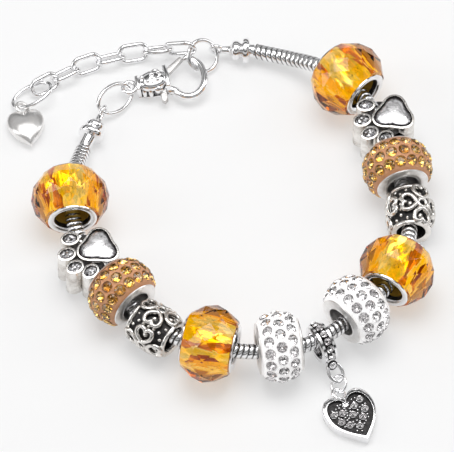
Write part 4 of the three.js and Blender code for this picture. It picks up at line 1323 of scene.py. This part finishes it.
def heart_reach(width, length, notch):
    """How far the outline of a heart lies from its middle, for any angle."""
    outline = sorted((math.atan2(y, x), math.hypot(x, y)) for x, y in heart_outline(width, length, 24, notch))
    angles = [angle for angle, _ in outline]
    reaches = [reach for _, reach in outline]
    return lambda angle: float(np.interp(angle, angles, reaches, period=FULL_TURN))


def puffed_heart():
    c = CHARM
    half = c["thick"] / 2
    reach = heart_reach(c["width"], c["length"], c["notch"])
    heart = add(bmesh.new(), pillow(reach, half, half, 1.0, sides=96, rings=40, round_top=1.0))
    add(heart, rod([(0, 0.2 * c["length"], 0), (0, c["loop_at"] - c["loop"], 0)], c["neck"], resolution=4))
    loop = moved(0, c["loop_at"]) @ turned(TILTED_LOOP, "Y")
    return add(heart, wire_ring(c["loop"], c["loop"], c["wire"], segments=40), loop)


charm_at = frame_at((-36.57, 17.37, CHARM["thick"] / 2), heading(12.4))
piece("puffed_tail_heart", puffed_heart(), [SATIN], ["heart_charm"], charm_at, crease=60)

# %% [markdown]
# ## Table, light and camera
# The bracelet lies on a plain pale table in soft light. Silver shows what surrounds it, so the sky has long
# dark bands between bright ones, which give the metal its black and white lines.

# %% Pale table
floor_mesh = bmesh.new()
bmesh.ops.create_grid(floor_mesh, x_segments=1, y_segments=1, size=1.2)
TABLE, tree, shader = new_finish("pale table")
feed(tree, shader, Base_Color=(0.45, 0.45, 0.452, 1), Emission_Color=(1.0, 1.0, 1.0, 1),
     Emission_Strength=0.43, Roughness=0.55)
table = bpy.data.objects.new("table", as_mesh(floor_mesh))
table.data.materials.append(TABLE)
bpy.context.scene.collection.objects.link(table)
table_top = min(FRAME_BOX[0][2], 0.0)
for v in table.data.vertices:
    v.co.z = table_top
table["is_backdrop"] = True
print("table at", round(table_top / MM, 3), "mm")

# %% Lamps
def lamp(name, place, width, depth, power):
    light = bpy.data.lights.new(name, "AREA")
    light.shape = "RECTANGLE"
    light.size, light.size_y = width, depth
    light.energy = power
    obj = bpy.data.objects.new(name, light)
    obj.location = place
    obj.rotation_euler = (-Vector(place)).to_track_quat("-Z", "Y").to_euler()
    bpy.context.scene.collection.objects.link(obj)


lamp("soft box above", (0.0, 0.12, 0.55), 0.5, 0.34, 1.85)
lamp("window left", (-0.55, -0.05, 0.30), 0.16, 0.5, 0.8)
lamp("window right", (0.50, 0.22, 0.34), 0.14, 0.5, 0.65)
print("lamps:", [light.name for light in bpy.data.lights])

# %% Sky
SKY_BANDS = [(0.09, 0.36), (0.15, 0.03), (0.33, 0.02), (0.40, 0.5), (0.60, 0.7), (0.68, 0.06), (0.80, 0.1),
             (0.86, 0.6)]
world = bpy.data.worlds.new("studio")
world.use_nodes = True
bpy.context.scene.world = world
sky = world.node_tree
sight = put(sky, "ShaderNodeTexCoord").outputs["Generated"]
height = put(sky, "ShaderNodeSeparateXYZ", Vector=sight).outputs["Z"]
bands = ramp(sky, height, (0.0, (0.34, 0.34, 0.345)), *((at, (shade,) * 3) for at, shade in SKY_BANDS),
             (1.0, (0.95, 0.95, 0.95)))
feed(sky, sky.nodes["Background"], Color=bands, Strength=1.05)
print("the sky has", len(SKY_BANDS) + 2, "stops")

# %% Camera
DISTANCE = 2.0125
SENSOR = 36
VIEW_WIDTH = 0.0805
middle = Vector((0.73, 0.52, 5.0)) * MM
elevation = math.radians(57)
lens = bpy.data.cameras.new("camera")
lens.sensor_width = SENSOR
lens.lens = SENSOR * DISTANCE / VIEW_WIDTH
lens.clip_start, lens.clip_end = 0.1, 10
camera = bpy.data.objects.new("camera", lens)
camera.location = middle + DISTANCE * Vector((0, -math.cos(elevation), math.sin(elevation)))
camera.rotation_euler = (math.pi / 2 - elevation, 0, 0)
bpy.context.scene.collection.objects.link(camera)
bpy.context.scene.camera = camera
bpy.context.scene.view_settings.view_transform = "Standard"
print("camera lens", round(lens.lens), "mm")

# %% Measuring the whole
DRESSED_BOX = [list(corner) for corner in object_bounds()]
for low, high in (FRAME_BOX, DRESSED_BOX):
    print([round((b - a) / MM, 2) for a, b in zip(low, high)], "mm")
